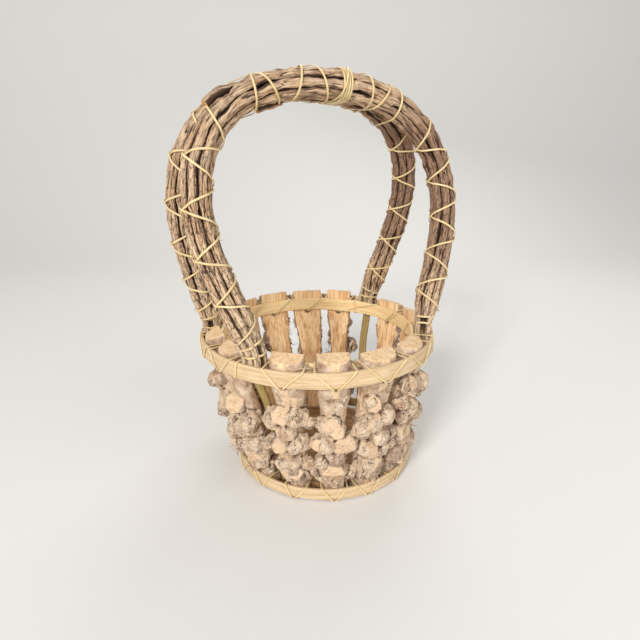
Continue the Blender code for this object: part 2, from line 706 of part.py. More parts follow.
def build_core(name, path, left_foot, right_foot, parts):
    """The flat split core of a bundle: up the wall from the base hoop, over the arch and down again."""
    stations = []
    for foot, way in ((left_foot, -1), (right_foot, 1)):
        angle = math.radians(FEET[foot])
        leg = []
        bend = mix(BASE_HOOP_TOP, RIM_BOTTOM, CORE_BEND_SHARE)
        for height, radius in ((BASE_LIFT, BASE_FACE + CORE_THICKNESS / 2),
                               (BASE_HOOP_TOP, BASE_FACE + CORE_THICKNESS / 2),
                               (bend, wall_face(bend) + CORE_THICKNESS / 2),
                               (RIM_BOTTOM, RING_RADIUS)):
            sideward = Vector((-math.sin(angle), math.cos(angle), 0))
            leg.append((wall_point(angle, radius, 0, height), sideward * -1))
        stations.append(leg)
    arch = []
    for distance in path.at:
        point, _, sideward = path.frame(distance)
        arch.append((point, sideward))
    left, right = stations
    line = left + arch + [(point, sideward * -1) for point, sideward in reversed(right)]
    if arch[0][1].dot(left[-1][1]) < 0:
        line = [(point, sideward * -1) for point, sideward in left] + arch + list(reversed(right))
    strip = bmesh.new()
    bmesh.ops.create_grid(strip, x_segments=len(line) - 1, y_segments=1, size=1)
    for vert in strip.verts:
        point, sideward = line[round((vert.co.x + 1) / 2 * (len(line) - 1))]
        vert.co = point + sideward * (vert.co.y * CORE_WIDTH / 2)
    obj = add_object(name, to_mesh(strip, name), parts, CORE_WOOD)
    smooth(obj.data)
    flat = obj.modifiers.new("strip", "SOLIDIFY")
    flat.thickness = CORE_THICKNESS
    flat.offset = 0
    flat.use_even_offset = True
    return obj


def least_gap(points, radius, skip):
    """Least distance between the surfaces of parts of a strand that lie over half a turn apart."""
    line = np.array(points)
    shares = np.linspace(0, 1, GAP_SAMPLES, endpoint=False)[:, None, None]
    dense = (line[:-1] + shares * (line[1:] - line[:-1])).transpose(1, 0, 2).reshape(-1, 3)
    gaps = np.linalg.norm(dense[:, None] - dense[None], axis=2)
    index = np.arange(len(dense))
    gaps[np.abs(index[:, None] - index[None]) < skip * len(shares)] = np.inf
    return gaps.min() - 2 * radius


def build_winding(name, points, steps, parts):
    """One unbroken strand wound there and back, its gap to itself printed."""
    curve = new_cane(name, LACING_RADIUS)
    add_strand(curve, points)
    gap = least_gap(points, LACING_RADIUS, steps // 2 + 1)
    print(f"{name}: least gap to itself {gap * 1000:.2f} mm")
    return add_object(name, curve, parts, CANE)


def lacing_radii():
    """Radii of the strand wound up a leg and of the strand wound back over it."""
    first = (BUNDLE_RADIUS + LACING_CLEARANCE + LACING_RADIUS) / WINDING_FACET
    return first, first + (2 * LACING_RADIUS + LACING_GAP) / WINDING_FACET


def build_leg_lacing(name, path, way, parts):
    """A strand wound up one leg of the handle and back down over itself, crossing on two sides."""
    low = path.distance_at(RIM_TOP + LACING_START_RISE, way)
    high = path.distance_at(mix(BELLY_HEIGHT, HANDLE_TOP, LEG_END_SHARE), way)
    inner, outer = lacing_radii()
    points = []
    count = round(2 * LEG_TURNS * WINDING_STEPS)
    for step in range(count + 1):
        share = step / count
        up = 2 * share if share < 0.5 else 2 - 2 * share
        back = ease((share - 0.5) * count / WINDING_STEPS + 0.5)
        turn = math.tau * step / WINDING_STEPS
        point, outward, sideward = path.frame(mix(low, high, up))
        radius = mix(inner, outer, back)
        points.append(point + outward * radius * math.cos(turn) + sideward * radius * math.sin(turn))
    return build_winding(name, points, WINDING_STEPS, parts)


def stadium(half, radius):
    """One turn round two bundles side by side: pairs of across and outward offsets."""
    turn = []
    for way in (1, -1):
        for step in range(STADIUM_STEPS):
            angle = math.pi * (step / (STADIUM_STEPS - 1) - 0.5)
            turn.append((way * (half + radius * math.cos(angle)), way * radius * math.sin(angle)))
    return turn


def build_top_lacing(front, rear, parts):
    """A strand wound round both bundles over the top, with a tie of close turns, and back over itself."""
    start = mix(BELLY_HEIGHT, HANDLE_TOP, TOP_START_SHARE)
    low, high = (front.distance_at(start, way) for way in (-1, 1))
    rear_low, rear_high = (rear.distance_at(start, way) for way in (-1, 1))
    inner, outer = lacing_radii()
    per_turn = 2 * STADIUM_STEPS
    tie = TIE_TURNS * TIE_PITCH / (high - low)
    before, after = round(TOP_TURNS * TIE_SHARE), TOP_TURNS - round(TOP_TURNS * TIE_SHARE)
    knots = [0, before, before + TIE_TURNS, TOP_TURNS + TIE_TURNS, 2 * TOP_TURNS + TIE_TURNS]
    shares = [0, TIE_SHARE - tie / 2, TIE_SHARE + tie / 2, 1, 0]
    total = knots[-1] * per_turn
    points = []
    for step in range(total + 1):
        turns = step / per_turn
        share = float(np.interp(turns, knots, shares))
        back = ease(turns - knots[3] + 0.5)
        lead, outward, _ = front.frame(mix(low, high, share))
        follow, _, _ = rear.frame(mix(rear_low, rear_high, share))
        centre = (lead + follow) / 2
        across = follow - lead
        half = across.length / 2
        across.normalize()
        outward = (outward - across * outward.dot(across)).normalized()
        side, out = stadium(half, mix(inner, outer, back))[step % per_turn]
        points.append(centre + across * side + outward * out)
    return build_winding("top_lacing", points, per_turn, parts)


def build_handle(parts):
    """Both bundles with their cores, and all the cane that laces them."""
    paths = {}
    for bundle, left_foot, right_foot, side in BUNDLES:
        path = Path(arch_line(left_foot, right_foot, side))
        paths[bundle] = path
        build_core(f"{bundle}_core", path, left_foot, right_foot, parts)
        for index in range(TWIG_COUNT):
            name = f"{bundle}_twig_{index + 1}"
            distances = list(path.at)
            if FOOT_PLACES[index] is None:
                distances = distances[SHORT_TWIG_STATIONS:-SHORT_TWIG_STATIONS]
            if bundle == "front" and index == 0:
                end = distances[SHOULDER_STATION] - TWIG_BREAK
                build_twig(name + "_left", index, path, distances[:SHOULDER_STATION] + [end], parts)
                distances = distances[SHOULDER_STATION:]
            build_twig(name, index, path, distances, parts)
        build_leg_lacing(left_foot + "_lacing", path, -1, parts)
        build_leg_lacing(right_foot + "_lacing", path, 1, parts)
    build_top_lacing(paths["front"], paths["rear"], parts)


def main():
    clear_scene()
    parts = new_collection("foraging_basket")
    cutters = new_collection("cutters")
    staves = read_staves()
    build_board(staves, parts)
    build_hoop("base_hoop", BASE_RADIUS, BASE_LIFT, BASE_HOOP_HEIGHT, BASE_HOOP_THICKNESS, 0, parts)
    build_hoop("rim_outer_hoop", RIM_RADIUS, RIM_BOTTOM, RIM_HOOP_HEIGHT, RIM_HOOP_THICKNESS,
               WALL_LEAN, parts)
    build_hoop("rim_inner_hoop", INNER_HOOP_RADIUS, RIM_BOTTOM, RIM_HOOP_HEIGHT, RIM_HOOP_THICKNESS,
               WALL_LEAN, parts)
    for number, stave in enumerate(staves, 1):
        build_stave(number, stave, parts, cutters)
    build_rim_lashing(staves, parts)
    build_base_lashing(staves, parts)
    build_handle(parts)


main()
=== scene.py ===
"""Foraging basket: knobby root staves between wooden hoops, under a double twig handle laced with cane.

Units are metres and +Z is up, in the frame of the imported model. Noise is seeded, so each run is alike.
"""

import logging
import math
from dataclasses import dataclass, field
from enum import Enum
from itertools import product
from typing import Any, Mapping, Sequence

import bmesh
import bpy
import numpy as np
from mathutils import Matrix, Vector
from mathutils.bvhtree import BVHTree


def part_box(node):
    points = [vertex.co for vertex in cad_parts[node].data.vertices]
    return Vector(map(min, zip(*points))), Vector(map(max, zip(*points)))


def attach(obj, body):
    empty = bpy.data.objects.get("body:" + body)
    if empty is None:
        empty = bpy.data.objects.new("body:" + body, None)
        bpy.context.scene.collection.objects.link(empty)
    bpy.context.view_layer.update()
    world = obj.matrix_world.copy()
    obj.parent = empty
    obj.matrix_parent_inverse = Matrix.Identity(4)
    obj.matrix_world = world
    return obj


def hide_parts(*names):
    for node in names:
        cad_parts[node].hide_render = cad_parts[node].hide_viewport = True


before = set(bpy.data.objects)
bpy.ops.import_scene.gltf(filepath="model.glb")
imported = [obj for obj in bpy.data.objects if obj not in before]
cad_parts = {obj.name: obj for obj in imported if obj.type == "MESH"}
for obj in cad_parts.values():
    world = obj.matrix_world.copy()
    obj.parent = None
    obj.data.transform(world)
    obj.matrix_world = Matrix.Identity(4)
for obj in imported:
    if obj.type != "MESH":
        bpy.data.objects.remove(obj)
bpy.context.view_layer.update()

Array = np.ndarray
LOG = logging.getLogger("foraging_basket")
BODY = "root"
MM = 0.001
UP = np.array([0, 0, 1.0])


class Slot(Enum):
    """The record's material slots."""

    ROOT_WOOD = "root_wood"
    TWIG_BARK = "twig_bark"
    SPLIT_CORE = "split_core"
    HOOP_WOOD = "hoop_wood"
    BOARD_WOOD = "board_wood"
    CANE = "cane"


class Mark(Enum):
    """What a point of a surface is, kept on the mesh for its material."""

    # Darkness: painted shade in hollows, furrows, breaks and gaps; also the rootlets' own darkness and darker
    # patches along the split faces' sides
    CREVICE = "crevice"
    # Lightness laid on raised parts as painted highlight, partly wear on the twigs' crowns
    RIDGE = "ridge"
    SPLIT = "split"
    SAWN = "sawn"
    # Own colour that varies from piece to piece, and painted shade where it is below zero
    TONE = "tone"
    LAYER = "layer"
    BURL = "burl"
    PLATED = "plated"


class Way(Enum):
    """The two ways along the handle's span or round the rim."""

    LEFT = -1
    RIGHT = 1


# Noise and small sums


def mix(a: Any, b: Any, share: Any) -> Any:
    """A value between two others."""
    return a + (b - a) * share


def ease(share: Any) -> Any:
    """Smooth step from 0 to 1, for a number or an array."""
    share = np.clip(share, 0, 1)
    return share * share * (3 - 2 * share)


def ramp(values: Any, start: float, end: float) -> Any:
    """Smooth step from 0 at start to 1 at end."""
    return ease((values - start) / (end - start))


def fade(values: Any, edge: float, zone: tuple[float, float]) -> Any:
    """Smooth step from 0 to 1 over a zone that is measured from an edge."""
    return ramp(values, edge + zone[0], edge + zone[1])


def lattice(cells: Array, seed: int) -> Array:
    """Random values from -1 to 1 that belong to whole-number cells."""
    x, y, z = (cells[..., axis].astype(np.int64) for axis in range(3))
    mixed = (x * 374761393 + y * 668265263 + z * 1440662683 + seed * 974634777) & 0xFFFFFFFF
    mixed = ((mixed ^ (mixed >> 13)) * 1274126177) & 0xFFFFFFFF
    return ((mixed ^ (mixed >> 16)) & 0xFFFF) / 32767.5 - 1


def noise(points: Array, cell: float | Sequence[float], seed: int, octaves: int = 1) -> Array:
    """Gradient noise, about -1 to 1.

    Args:
        points: Places, one row each.
        cell: Size of the coarsest cell in metres, one number or one for each axis.
        seed: Picks the pattern.
        octaves: How many finer patterns are summed, each half as large and half as strong.

    Returns:
        One value for each point.
    """
    total, strength, weight = np.zeros(points.shape[:-1]), 1.0, 0.0
    for octave in range(octaves):
        scaled = points / (np.array(cell) / 2 ** octave)
        base = np.floor(scaled)
        local = scaled - base
        eased = local ** 3 * (local * (local * 6 - 15) + 10)
        for corner in product((0, 1), repeat=3):
            gradient = np.stack([lattice(base + corner, seed + octave * 31 + axis * 7)
                                 for axis in range(3)], axis=-1)
            near = np.prod(np.where(np.array(corner) == 1, eased, 1 - eased), axis=-1)
            total += strength * near * np.sum(gradient * (local - corner), axis=-1)
        weight += strength
        strength /= 2
    return total * 1.7 / weight


@dataclass(frozen=True)
class Relief:
    """A pattern of noise: its strength, the size of its cells, its shift of the seed and its octaves."""

    strength: float
    cell: float | tuple[float, float, float]
    shift: int = 0
    octaves: int = 1

    def at(self, points: Array, seed: int) -> Array:
        """Its value at each point."""
        return self.strength * noise(points, self.cell, seed + self.shift, self.octaves)


def unit(vectors: Array) -> Array:
    """Rows of vectors made one long."""
    return vectors / np.maximum(np.linalg.norm(vectors, axis=-1, keepdims=True), 1e-12)


def distances(line: Array) -> Array:
    """How far along a line each of its points is."""
    return np.concatenate([[0], np.cumsum(np.linalg.norm(np.diff(line, axis=0), axis=1))])


def read_rows(values: Array, at: Array, wanted: Any) -> Array:
    """Rows read between their stations."""
    return np.stack([np.interp(wanted, at, column) for column in values.T], axis=-1)


def radial(angle: Any) -> Array:
    """Level direction at an angle in radians, or one row for each angle."""
    return np.stack([np.cos(angle), np.sin(angle), np.zeros_like(angle)], axis=-1)


# Meshes


class Skin:
    """A closed surface of quads as arrays, with the sums over neighbours that smoothing needs."""

    def __init__(self, points: Array, quads: Array) -> None:
        """Keep the points and quads and count each point's neighbours."""
        self.points, self.quads = points, quads
        self.start = quads.ravel()
        self.end = np.roll(quads, -1, axis=1).ravel()
        self.count = np.maximum(np.bincount(self.start, minlength=len(points)), 1)

    def smoothed(self, values: Array, passes: int) -> Array:
        """Values blended with their neighbours'.

        Args:
            values: One number or one vector for each point.
            passes: How often they are blended.

        Returns:
            The blended values.
        """
        flat = values.reshape(len(values), -1)
        for _ in range(passes):
            around = np.stack([np.bincount(self.start, weights=flat[self.end, axis],
                                           minlength=len(flat)) for axis in range(flat.shape[1])],
                              axis=-1)
            flat = (flat + around / self.count[:, None]) / 2
        return flat.reshape(values.shape)

    def normals(self) -> Array:
        """Outward directions at the points."""
        a, b, c, d = (self.points[self.quads[:, corner]] for corner in range(4))
        across = np.cross(c - a, d - b)
        total = np.stack([np.bincount(self.start, weights=np.repeat(across[:, axis], 4),
                                      minlength=len(self.points)) for axis in range(3)], axis=-1)
        return unit(total)

    def hollows(self, passes: int) -> Array:
        """How far each point lies under the smoothed surface, in metres."""
        return np.sum((self.smoothed(self.points, passes) - self.points) * self.normals(), axis=-1)


def put_in_scene(name: str, data: bpy.types.ID) -> bpy.types.Object:
    """Put data into the scene as an object."""
    thing = bpy.data.objects.new(name, data)
    bpy.context.scene.collection.objects.link(thing)
    return thing


def make_piece(name: str, points: Array, faces: Sequence[Sequence[int]],
               marks: Mapping[Mark, Array] | None = None, uv: Array | None = None) -> bpy.types.Object:
    """Make a smooth-shaded mesh object.

    Args:
        name: Name of the object and its mesh.
        points: Places of the points.
        faces: Point numbers of each face.
        marks: Values for the material, one for each point.
        uv: Places on the unrolled surface in metres, one for each face corner.

    Returns:
        The new object.
    """
    mesh = bpy.data.meshes.new(name)
    mesh.from_pydata(points.tolist(), [], [list(face) for face in faces])
    for mark, values in (marks or {}).items():
        layer = mesh.attributes.new(mark.value, "FLOAT", "POINT")
        layer.data.foreach_set("value", np.asarray(values, np.float32))
    if uv is not None:
        layer = mesh.uv_layers.new(name="grain")
        layer.data.foreach_set("uv", np.asarray(uv, np.float32).ravel())
    mesh.shade_smooth()
    return put_in_scene(name, mesh)


@dataclass
class Sweep:
    """A section carried along a line.

    Each station has its point, two directions across the line, and its section as pairs of distances
    along those directions, so the section may change from station to station.
    """

    line: Array
    side: Array
    out: Array
    section: Array
    closed: bool = False
    marks: dict[Mark, Array] = field(default_factory=dict)

    def build(self, name: str) -> bpy.types.Object:
        """Make the swept piece, with flat ends where the line isn't closed.

        Args:
            name: Name of the piece.

        Returns:
            The new object, its normals facing out.
        """
        stations, sides = self.section.shape[:2]
        points = (self.line[:, None] + self.side[:, None] * self.section[..., :1]
                  + self.out[:, None] * self.section[..., 1:])
        row = np.arange(stations if self.closed else stations - 1)[:, None]
        turn = np.arange(sides)[None]
        here, there = row * sides, (row + 1) % stations * sides
        after = (turn + 1) % sides
        quads = np.stack([here + turn, there + turn, there + after, here + after], axis=-1)
        along = distances(self.line)
        if self.closed:
            along = np.append(along, along[-1] + np.linalg.norm(self.line[-1] - self.line[0]))
        around = np.linalg.norm(np.roll(self.section, -1, axis=1) - self.section, axis=-1).max(axis=0)
        around = np.concatenate([[0], np.cumsum(around)])
        u0, v0 = np.broadcast_arrays(along[row], around[turn])
        u1, v1 = np.broadcast_arrays(along[row + 1], around[turn + 1])
        uv = np.stack([np.stack([u0, v0], -1), np.stack([u1, v0], -1),
                       np.stack([u1, v1], -1), np.stack([u0, v1], -1)], axis=-2)
        faces = quads.reshape(-1, 4)
        flat = points.reshape(-1, 3)
        inside_out = self._volume(flat, faces) < 0
        if inside_out:
            faces, uv = faces[:, ::-1], uv[..., ::-1, :]
        rows, uv = faces.tolist(), uv.reshape(-1, 2)
        if not self.closed:
            first, last = list(range(sides)), [(stations - 1) * sides + i for i in range(sides)]
            rows += [first[::-1], last] if inside_out else [first, last[::-1]]
            uv = np.concatenate([uv, self.section[0][::-1] if inside_out else self.section[0],
                                 self.section[-1]])
        marks = {mark: values.ravel() for mark, values in self.marks.items()}
        return make_piece(name, flat, rows, marks, uv)

    @staticmethod
    def _volume(points: Array, quads: Array) -> float:
        """Six times the volume inside the quads."""
        a, b, c, d = (points[quads[:, corner]] - points[0] for corner in range(4))
        return float(np.sum(np.cross(a, b) * c) + np.sum(np.cross(a, c) * d))


def oval(width: float, thickness: float, sides: int, squareness: float = 2.6) -> Array:
    """A flattened round section.

    Args:
        width: Size along the first direction.
        thickness: Size along the second.
        sides: Number of points.
        squareness: 2 is an ellipse, and more fills its corners.

    Returns:
        Pairs of distances, one for each point.
    """
    turn = np.arange(sides) * math.tau / sides
    cosine, sine = np.cos(turn), np.sin(turn)
    power = 2 / squareness
    return np.stack([np.sign(cosine) * abs(cosine) ** power * width / 2,
                     np.sign(sine) * abs(sine) ** power * thickness / 2], axis=-1)


def frames_along(line: Array, out: Array, closed: bool = False) -> tuple[Array, Array]:
    """Directions across a line.

    Args:
        line: Points of the line.
        out: Rough outward directions.
        closed: Whether the line ends where it starts.

    Returns:
        The sideward and the outward directions, square to the line and to each other.
    """
    tangent = np.roll(line, -1, axis=0) - np.roll(line, 1, axis=0) if closed else np.gradient(line, axis=0)
    tangent = unit(tangent)
    out = unit(out - tangent * np.sum(out * tangent, axis=-1, keepdims=True))
    return np.cross(tangent, out), out


# Materials

Socket = bpy.types.NodeSocket


def linear(colour: str) -> tuple[float, float, float, float]:
    """Turn an sRGB hex colour to linear RGBA."""
    parts = [int(colour[place:place + 2], 16) / 255 for place in (1, 3, 5)]
    red, green, blue = (part / 12.92 if part <= 0.04045 else ((part + 0.055) / 1.055) ** 2.4
                        for part in parts)
    return red, green, blue, 1.0


def add_node(tree: bpy.types.NodeTree, kind: str, settings: Mapping[str, Any] | None = None,
             sockets: Mapping[Any, Any] | None = None,
             stops: Sequence[tuple[float, str]] = ()) -> bpy.types.Node:
    """Add a node with its settings and links.

    Args:
        tree: The node tree.
        kind: Blender's name of the node, without ShaderNode.
        settings: Values of the node's own properties.
        sockets: Values or linked outputs, by the input's name or number.
        stops: Places and hex colours of a colour ramp.

    Returns:
        The new node.
    """
    node = tree.nodes.new("ShaderNode" + kind)
    for key, value in (settings or {}).items():
        setattr(node, key, value)
    for key, value in (sockets or {}).items():
        if isinstance(value, Socket):
            tree.links.new(value, node.inputs[key])
        else:
            node.inputs[key].default_value = value
    for index, (place, colour) in enumerate(stops):
        elements = node.color_ramp.elements
        element = elements[index] if index < 2 else elements.new(place)
        element.position, element.color = place, linear(colour)
    return node


@dataclass(frozen=True)
class Cloud:
    """A cloudy pattern of real size, which a finish is painted by.

    Attributes:
        cell: Its size along each axis, in metres.
        detail: How much finer structure it has.
        shift: Moves the pattern, so that two of them differ.
        warp: How much it swirls.
    """

    cell: tuple[float, float, float]
    detail: float
    shift: float = 0.0
    warp: float = 0.0


class Painter:
    """Short steps that paint a surface with nodes."""

    def __init__(self, tree: bpy.types.NodeTree) -> None:
        """Paint in this node tree."""
        self.tree = tree

    def places(self) -> Socket:
        """Places in the object, in metres."""
        return add_node(self.tree, "TexCoord").outputs["Object"]

    def unrolled(self) -> Socket:
        """Places on the unrolled surface, in metres."""
        return add_node(self.tree, "UVMap", {"uv_map": "grain"}).outputs[0]

    def marks(self, *marks: Mark) -> list[Socket]:
        """What the mesh says of each of its points."""
        return [add_node(self.tree, "Attribute", {"attribute_name": mark.value}).outputs["Fac"]
                for mark in marks]

    def math(self, operation: str, *values: Any) -> Socket:
        """A sum of one to three values."""
        return add_node(self.tree, "Math", {"operation": operation}, dict(enumerate(values))).outputs[0]

    def pattern(self, coordinates: Socket, cloud: Cloud) -> Socket:
        """A cloudy pattern of real size.

        Args:
            coordinates: Places in metres.
            cloud: Its sizes.

        Returns:
            Its value, from 0 to 1.
        """
        place = add_node(self.tree, "Mapping",
                         sockets={"Vector": coordinates, "Location": (cloud.shift,) * 3,
                                  "Scale": [1 / size for size in cloud.cell]})
        clouds = add_node(self.tree, "TexNoise",
                          sockets={"Vector": place.outputs[0], "Scale": 1.0, "Detail": cloud.detail,
                                   "Roughness": 0.6, "Distortion": cloud.warp})
        return clouds.outputs[0]

    def cracks(self, coordinates: Socket, cell: Sequence[float], width: float,
               dimensions: str = "3D") -> Socket:
        """Cracks between irregular plates.

        Args:
            coordinates: Places in metres.
            cell: Size of the plates along each axis, in metres.
            width: Width of the cracks as a share of a plate.
            dimensions: 3D, or 2D on an unrolled surface.

        Returns:
            1 in a crack and 0 on a plate.
        """
        place = add_node(self.tree, "Mapping",
                         sockets={"Vector": coordinates, "Scale": [1 / size for size in cell]}).outputs[0]
        bend = add_node(self.tree, "TexNoise", sockets={"Vector": place, "Scale": 0.9, "Detail": 3.0})
        bent = add_node(self.tree, "VectorMath", {"operation": "MULTIPLY_ADD"},
                        {0: bend.outputs["Color"], 1: (0.9,) * 3, 2: place}).outputs[0]
        plates = add_node(self.tree, "TexVoronoi",
                          {"feature": "DISTANCE_TO_EDGE", "voronoi_dimensions": dimensions},
                          {"Vector": bent, "Scale": 1.0, "Randomness": 1.0})
        return self.stretch(plates.outputs["Distance"], 0.0, width, 1.0, 0.0)

    def stretch(self, value: Socket, start: float, end: float, low: float = 0.0, high: float = 1.0) -> Socket:
        """A value's range from start to end turned to low to high, and held there."""
        return add_node(self.tree, "MapRange", {"interpolation_type": "SMOOTHSTEP"},
                        {"Value": value, "From Min": start, "From Max": end, "To Min": low,
                         "To Max": high}).outputs[0]

    def product(self, first: Any, second: Any, third: Any = 1.0) -> Socket:
        """Two or three values multiplied."""
        return self.math("MULTIPLY", self.math("MULTIPLY", first, second), third)

    def total(self, *parts: tuple[float, Socket]) -> Socket:
        """Weighted sum of values."""
        found: Any = 0.0
        for weight, value in parts:
            found = self.math("MULTIPLY_ADD", value, weight, found)
        return found

    def colours(self, value: Socket, *stops: tuple[float, str]) -> Socket:
        """Colours by a value, with a place and a hex colour for each stop."""
        return add_node(self.tree, "ValToRGB", sockets={0: value}, stops=stops).outputs[0]

    def over(self, under: Socket, colour: str | Socket, factor: Socket) -> Socket:
        """One colour laid over another by a factor."""
        colour = linear(colour) if isinstance(colour, str) else colour
        return add_node(self.tree, "Mix", {"data_type": "RGBA"}, {0: factor, 6: under, 7: colour}).outputs[2]

    def layers(self, under: Socket, *layers: tuple[str, Socket, float, float, float]) -> Socket:
        """Colours laid over another, one after the other.

        Args:
            under: The lowest colour.
            layers: For each its colour, the value that it follows, the values where it starts and where
                it is full, and how strong it is there.

        Returns:
            The colour that is seen.
        """
        for colour, value, start, end, strength in layers:
            under = self.over(under, colour, self.stretch(value, start, end, 0.0, strength))
        return under


@dataclass(frozen=True)
class Finish:
    """A real material with its surface, made once and shared by its pieces."""

    name: str
    roughness: float
    bump: float

    def material(self) -> bpy.types.Material:
        """The finish as a material.

        Returns:
            The material, new or as made before.
        """
        found = bpy.data.materials.get(self.name)
        if found:
            return found
        material = bpy.data.materials.new(self.name)
        material.use_nodes = True
        tree = material.node_tree
        tree.nodes.clear()
        colour, height = self.paint(Painter(tree))
        normal = add_node(tree, "Bump", sockets={"Strength": 1.0, "Distance": self.bump, "Height": height})
        shader = add_node(tree, "BsdfPrincipled",
                          sockets={"Base Color": colour, "Roughness": self.roughness,
                                   "Specular IOR Level": 0.35, "Normal": normal.outputs[0]})
        add_node(tree, "OutputMaterial", sockets={"Surface": shader.outputs[0]})
        return material

    def paint(self, on: Painter) -> tuple[Socket, Socket]:
        """Colour and height of the surface."""
        raise NotImplementedError


@dataclass(frozen=True)
class WeatheredRootWood(Finish):
    """Grapevine-like root, dug up, brushed clean, split and dried.

    The eye sees chalky tan ridges and folds over grey-brown hollows, orange streaky grain on the split
    inner face, and flat pale sawn ends with darker rings. Shade is painted into its hollows, cracks,
    torn edges and layer feet, and highlight onto its raised parts and layer crests.
    """

    # The ridge colour is also the painted highlight; the shadow and hollow colours are painted shade
    ridge: str = "#E2CCAF"
    skin: str = "#BB9D83"
    mauve: str = "#8B6F60"
    stain: str = "#A58260"
    shadow: str = "#624838"
    hollow: str = "#3D2B22"
    split_light: str = "#FCE0B6"
    split_mid: str = "#F2C893"
    split_dark: str = "#C08A56"
    sawn_light: str = "#E0C3A1"
    sawn_dark: str = "#C6A37E"
    pith: str = "#8A6844"
    # Weather stains 16 mm across, mauve patches 9 mm across, and fibres 0.3 mm wide drawn 1 mm wide
    clouds: Cloud = Cloud((0.016,) * 3, 4.0, 0.0, 0.8)
    patches: Cloud = Cloud((0.009,) * 3, 3.0, 3.1, 0.5)
    streaks: Cloud = Cloud((0.0016, 0.0016, 0.016), 3.0, 5.2, 1.2)
    burl_cracks: tuple[float, float, float] = (0.011, 0.011, 0.014)
    # Growth lines 0.8 mm apart, drawn 2 mm apart
    grain: Cloud = Cloud((0.0028, 0.0028, 0.130), 3.0, 7.7, 0.12)
    stretches: Cloud = Cloud((0.012, 0.012, 0.070), 2.0, 4.4, 0.3)
    rings: Cloud = Cloud((0.0080, 0.0080, 0.0040), 3.0, 1.3, 1.5)

    def paint(self, on: Painter) -> tuple[Socket, Socket]:
        """Colour and height of the surface."""
        where = on.places()
        crevice, raised, cleft, cut, tone, layer, burl = on.marks(
            Mark.CREVICE, Mark.RIDGE, Mark.SPLIT, Mark.SAWN, Mark.TONE, Mark.LAYER, Mark.BURL)
        clouds, patches, streaks = (on.pattern(where, one)
                                    for one in (self.clouds, self.patches, self.streaks))
        skin = on.colours(clouds, (0.34, self.stain), (0.45, self.skin), (0.66, self.ridge))
        # The shadow layer is painted shade on chunks along the torn sides; the last layer is painted
        # highlight on raised parts
        skin = on.layers(skin, (self.mauve, patches, 0.50, 0.66, 0.55), (self.mauve, tone, 0.45, 0.0, 0.6),
                         (self.shadow, tone, 0.0, -0.5, 0.75), (self.ridge, tone, 0.55, 1.0, 0.55),
                         (self.ridge, streaks, 0.50, 0.66, 0.25), (self.ridge, raised, 0.0, 1.0, 0.75))
        # Layers of the burls: each ends in a crisp edge with a painted highlight on its crest, over painted
        # shade at the foot of the next; cracks on the burls get painted shade too
        phase = on.math("FRACT", on.math("MULTIPLY_ADD", patches, 0.9, layer))
        kept = on.stretch(clouds, 0.40, 0.56)
        foot = on.product(on.stretch(phase, 0.30, 0.0), burl, kept)
        crest = on.product(on.stretch(phase, 0.55, 0.95), burl, kept)
        cracked = on.product(on.cracks(where, self.burl_cracks, 0.055), burl,
                             on.stretch(patches, 0.46, 0.60))
        skin = on.over(skin, self.ridge, on.product(crest, 0.7))
        skin = on.over(skin, self.shadow, on.product(foot, 0.75))
        skin = on.over(skin, self.shadow, on.product(cracked, 0.7))
        # Painted shade: the crevice mark lays the darkest colour into hollows and along the torn edges
        skin = on.layers(skin, (self.hollow, crevice, 0.05, 0.9, 0.92))
        # Split face: lengthwise grain
        grain, cloudy = on.pattern(where, self.grain), on.pattern(where, self.stretches)
        split = on.colours(grain, (0.30, self.split_dark), (0.44, self.split_mid), (0.60, self.split_light))
        split = on.layers(split, (self.split_dark, cloudy, 0.46, 0.70, 0.5),
                          (self.split_dark, tone, 0.4, 0.0, 0.45), (self.shadow, crevice, 0.1, 0.9, 0.85))
        skin = on.over(skin, split, cleft)
        rings = on.pattern(where, self.rings)
        sawn = on.colours(rings, (0.34, self.sawn_dark), (0.52, self.sawn_light))
        sawn = on.layers(sawn, (self.pith, patches, 0.66, 0.74, 0.6))
        skin = on.over(skin, sawn, cut)
        rough = on.product(streaks, on.stretch(cleft, 0.6, 0.0))
        return skin, on.total((0.35, patches), (0.07, grain), (0.4, rough), (1.0, crest), (-0.9, cracked))


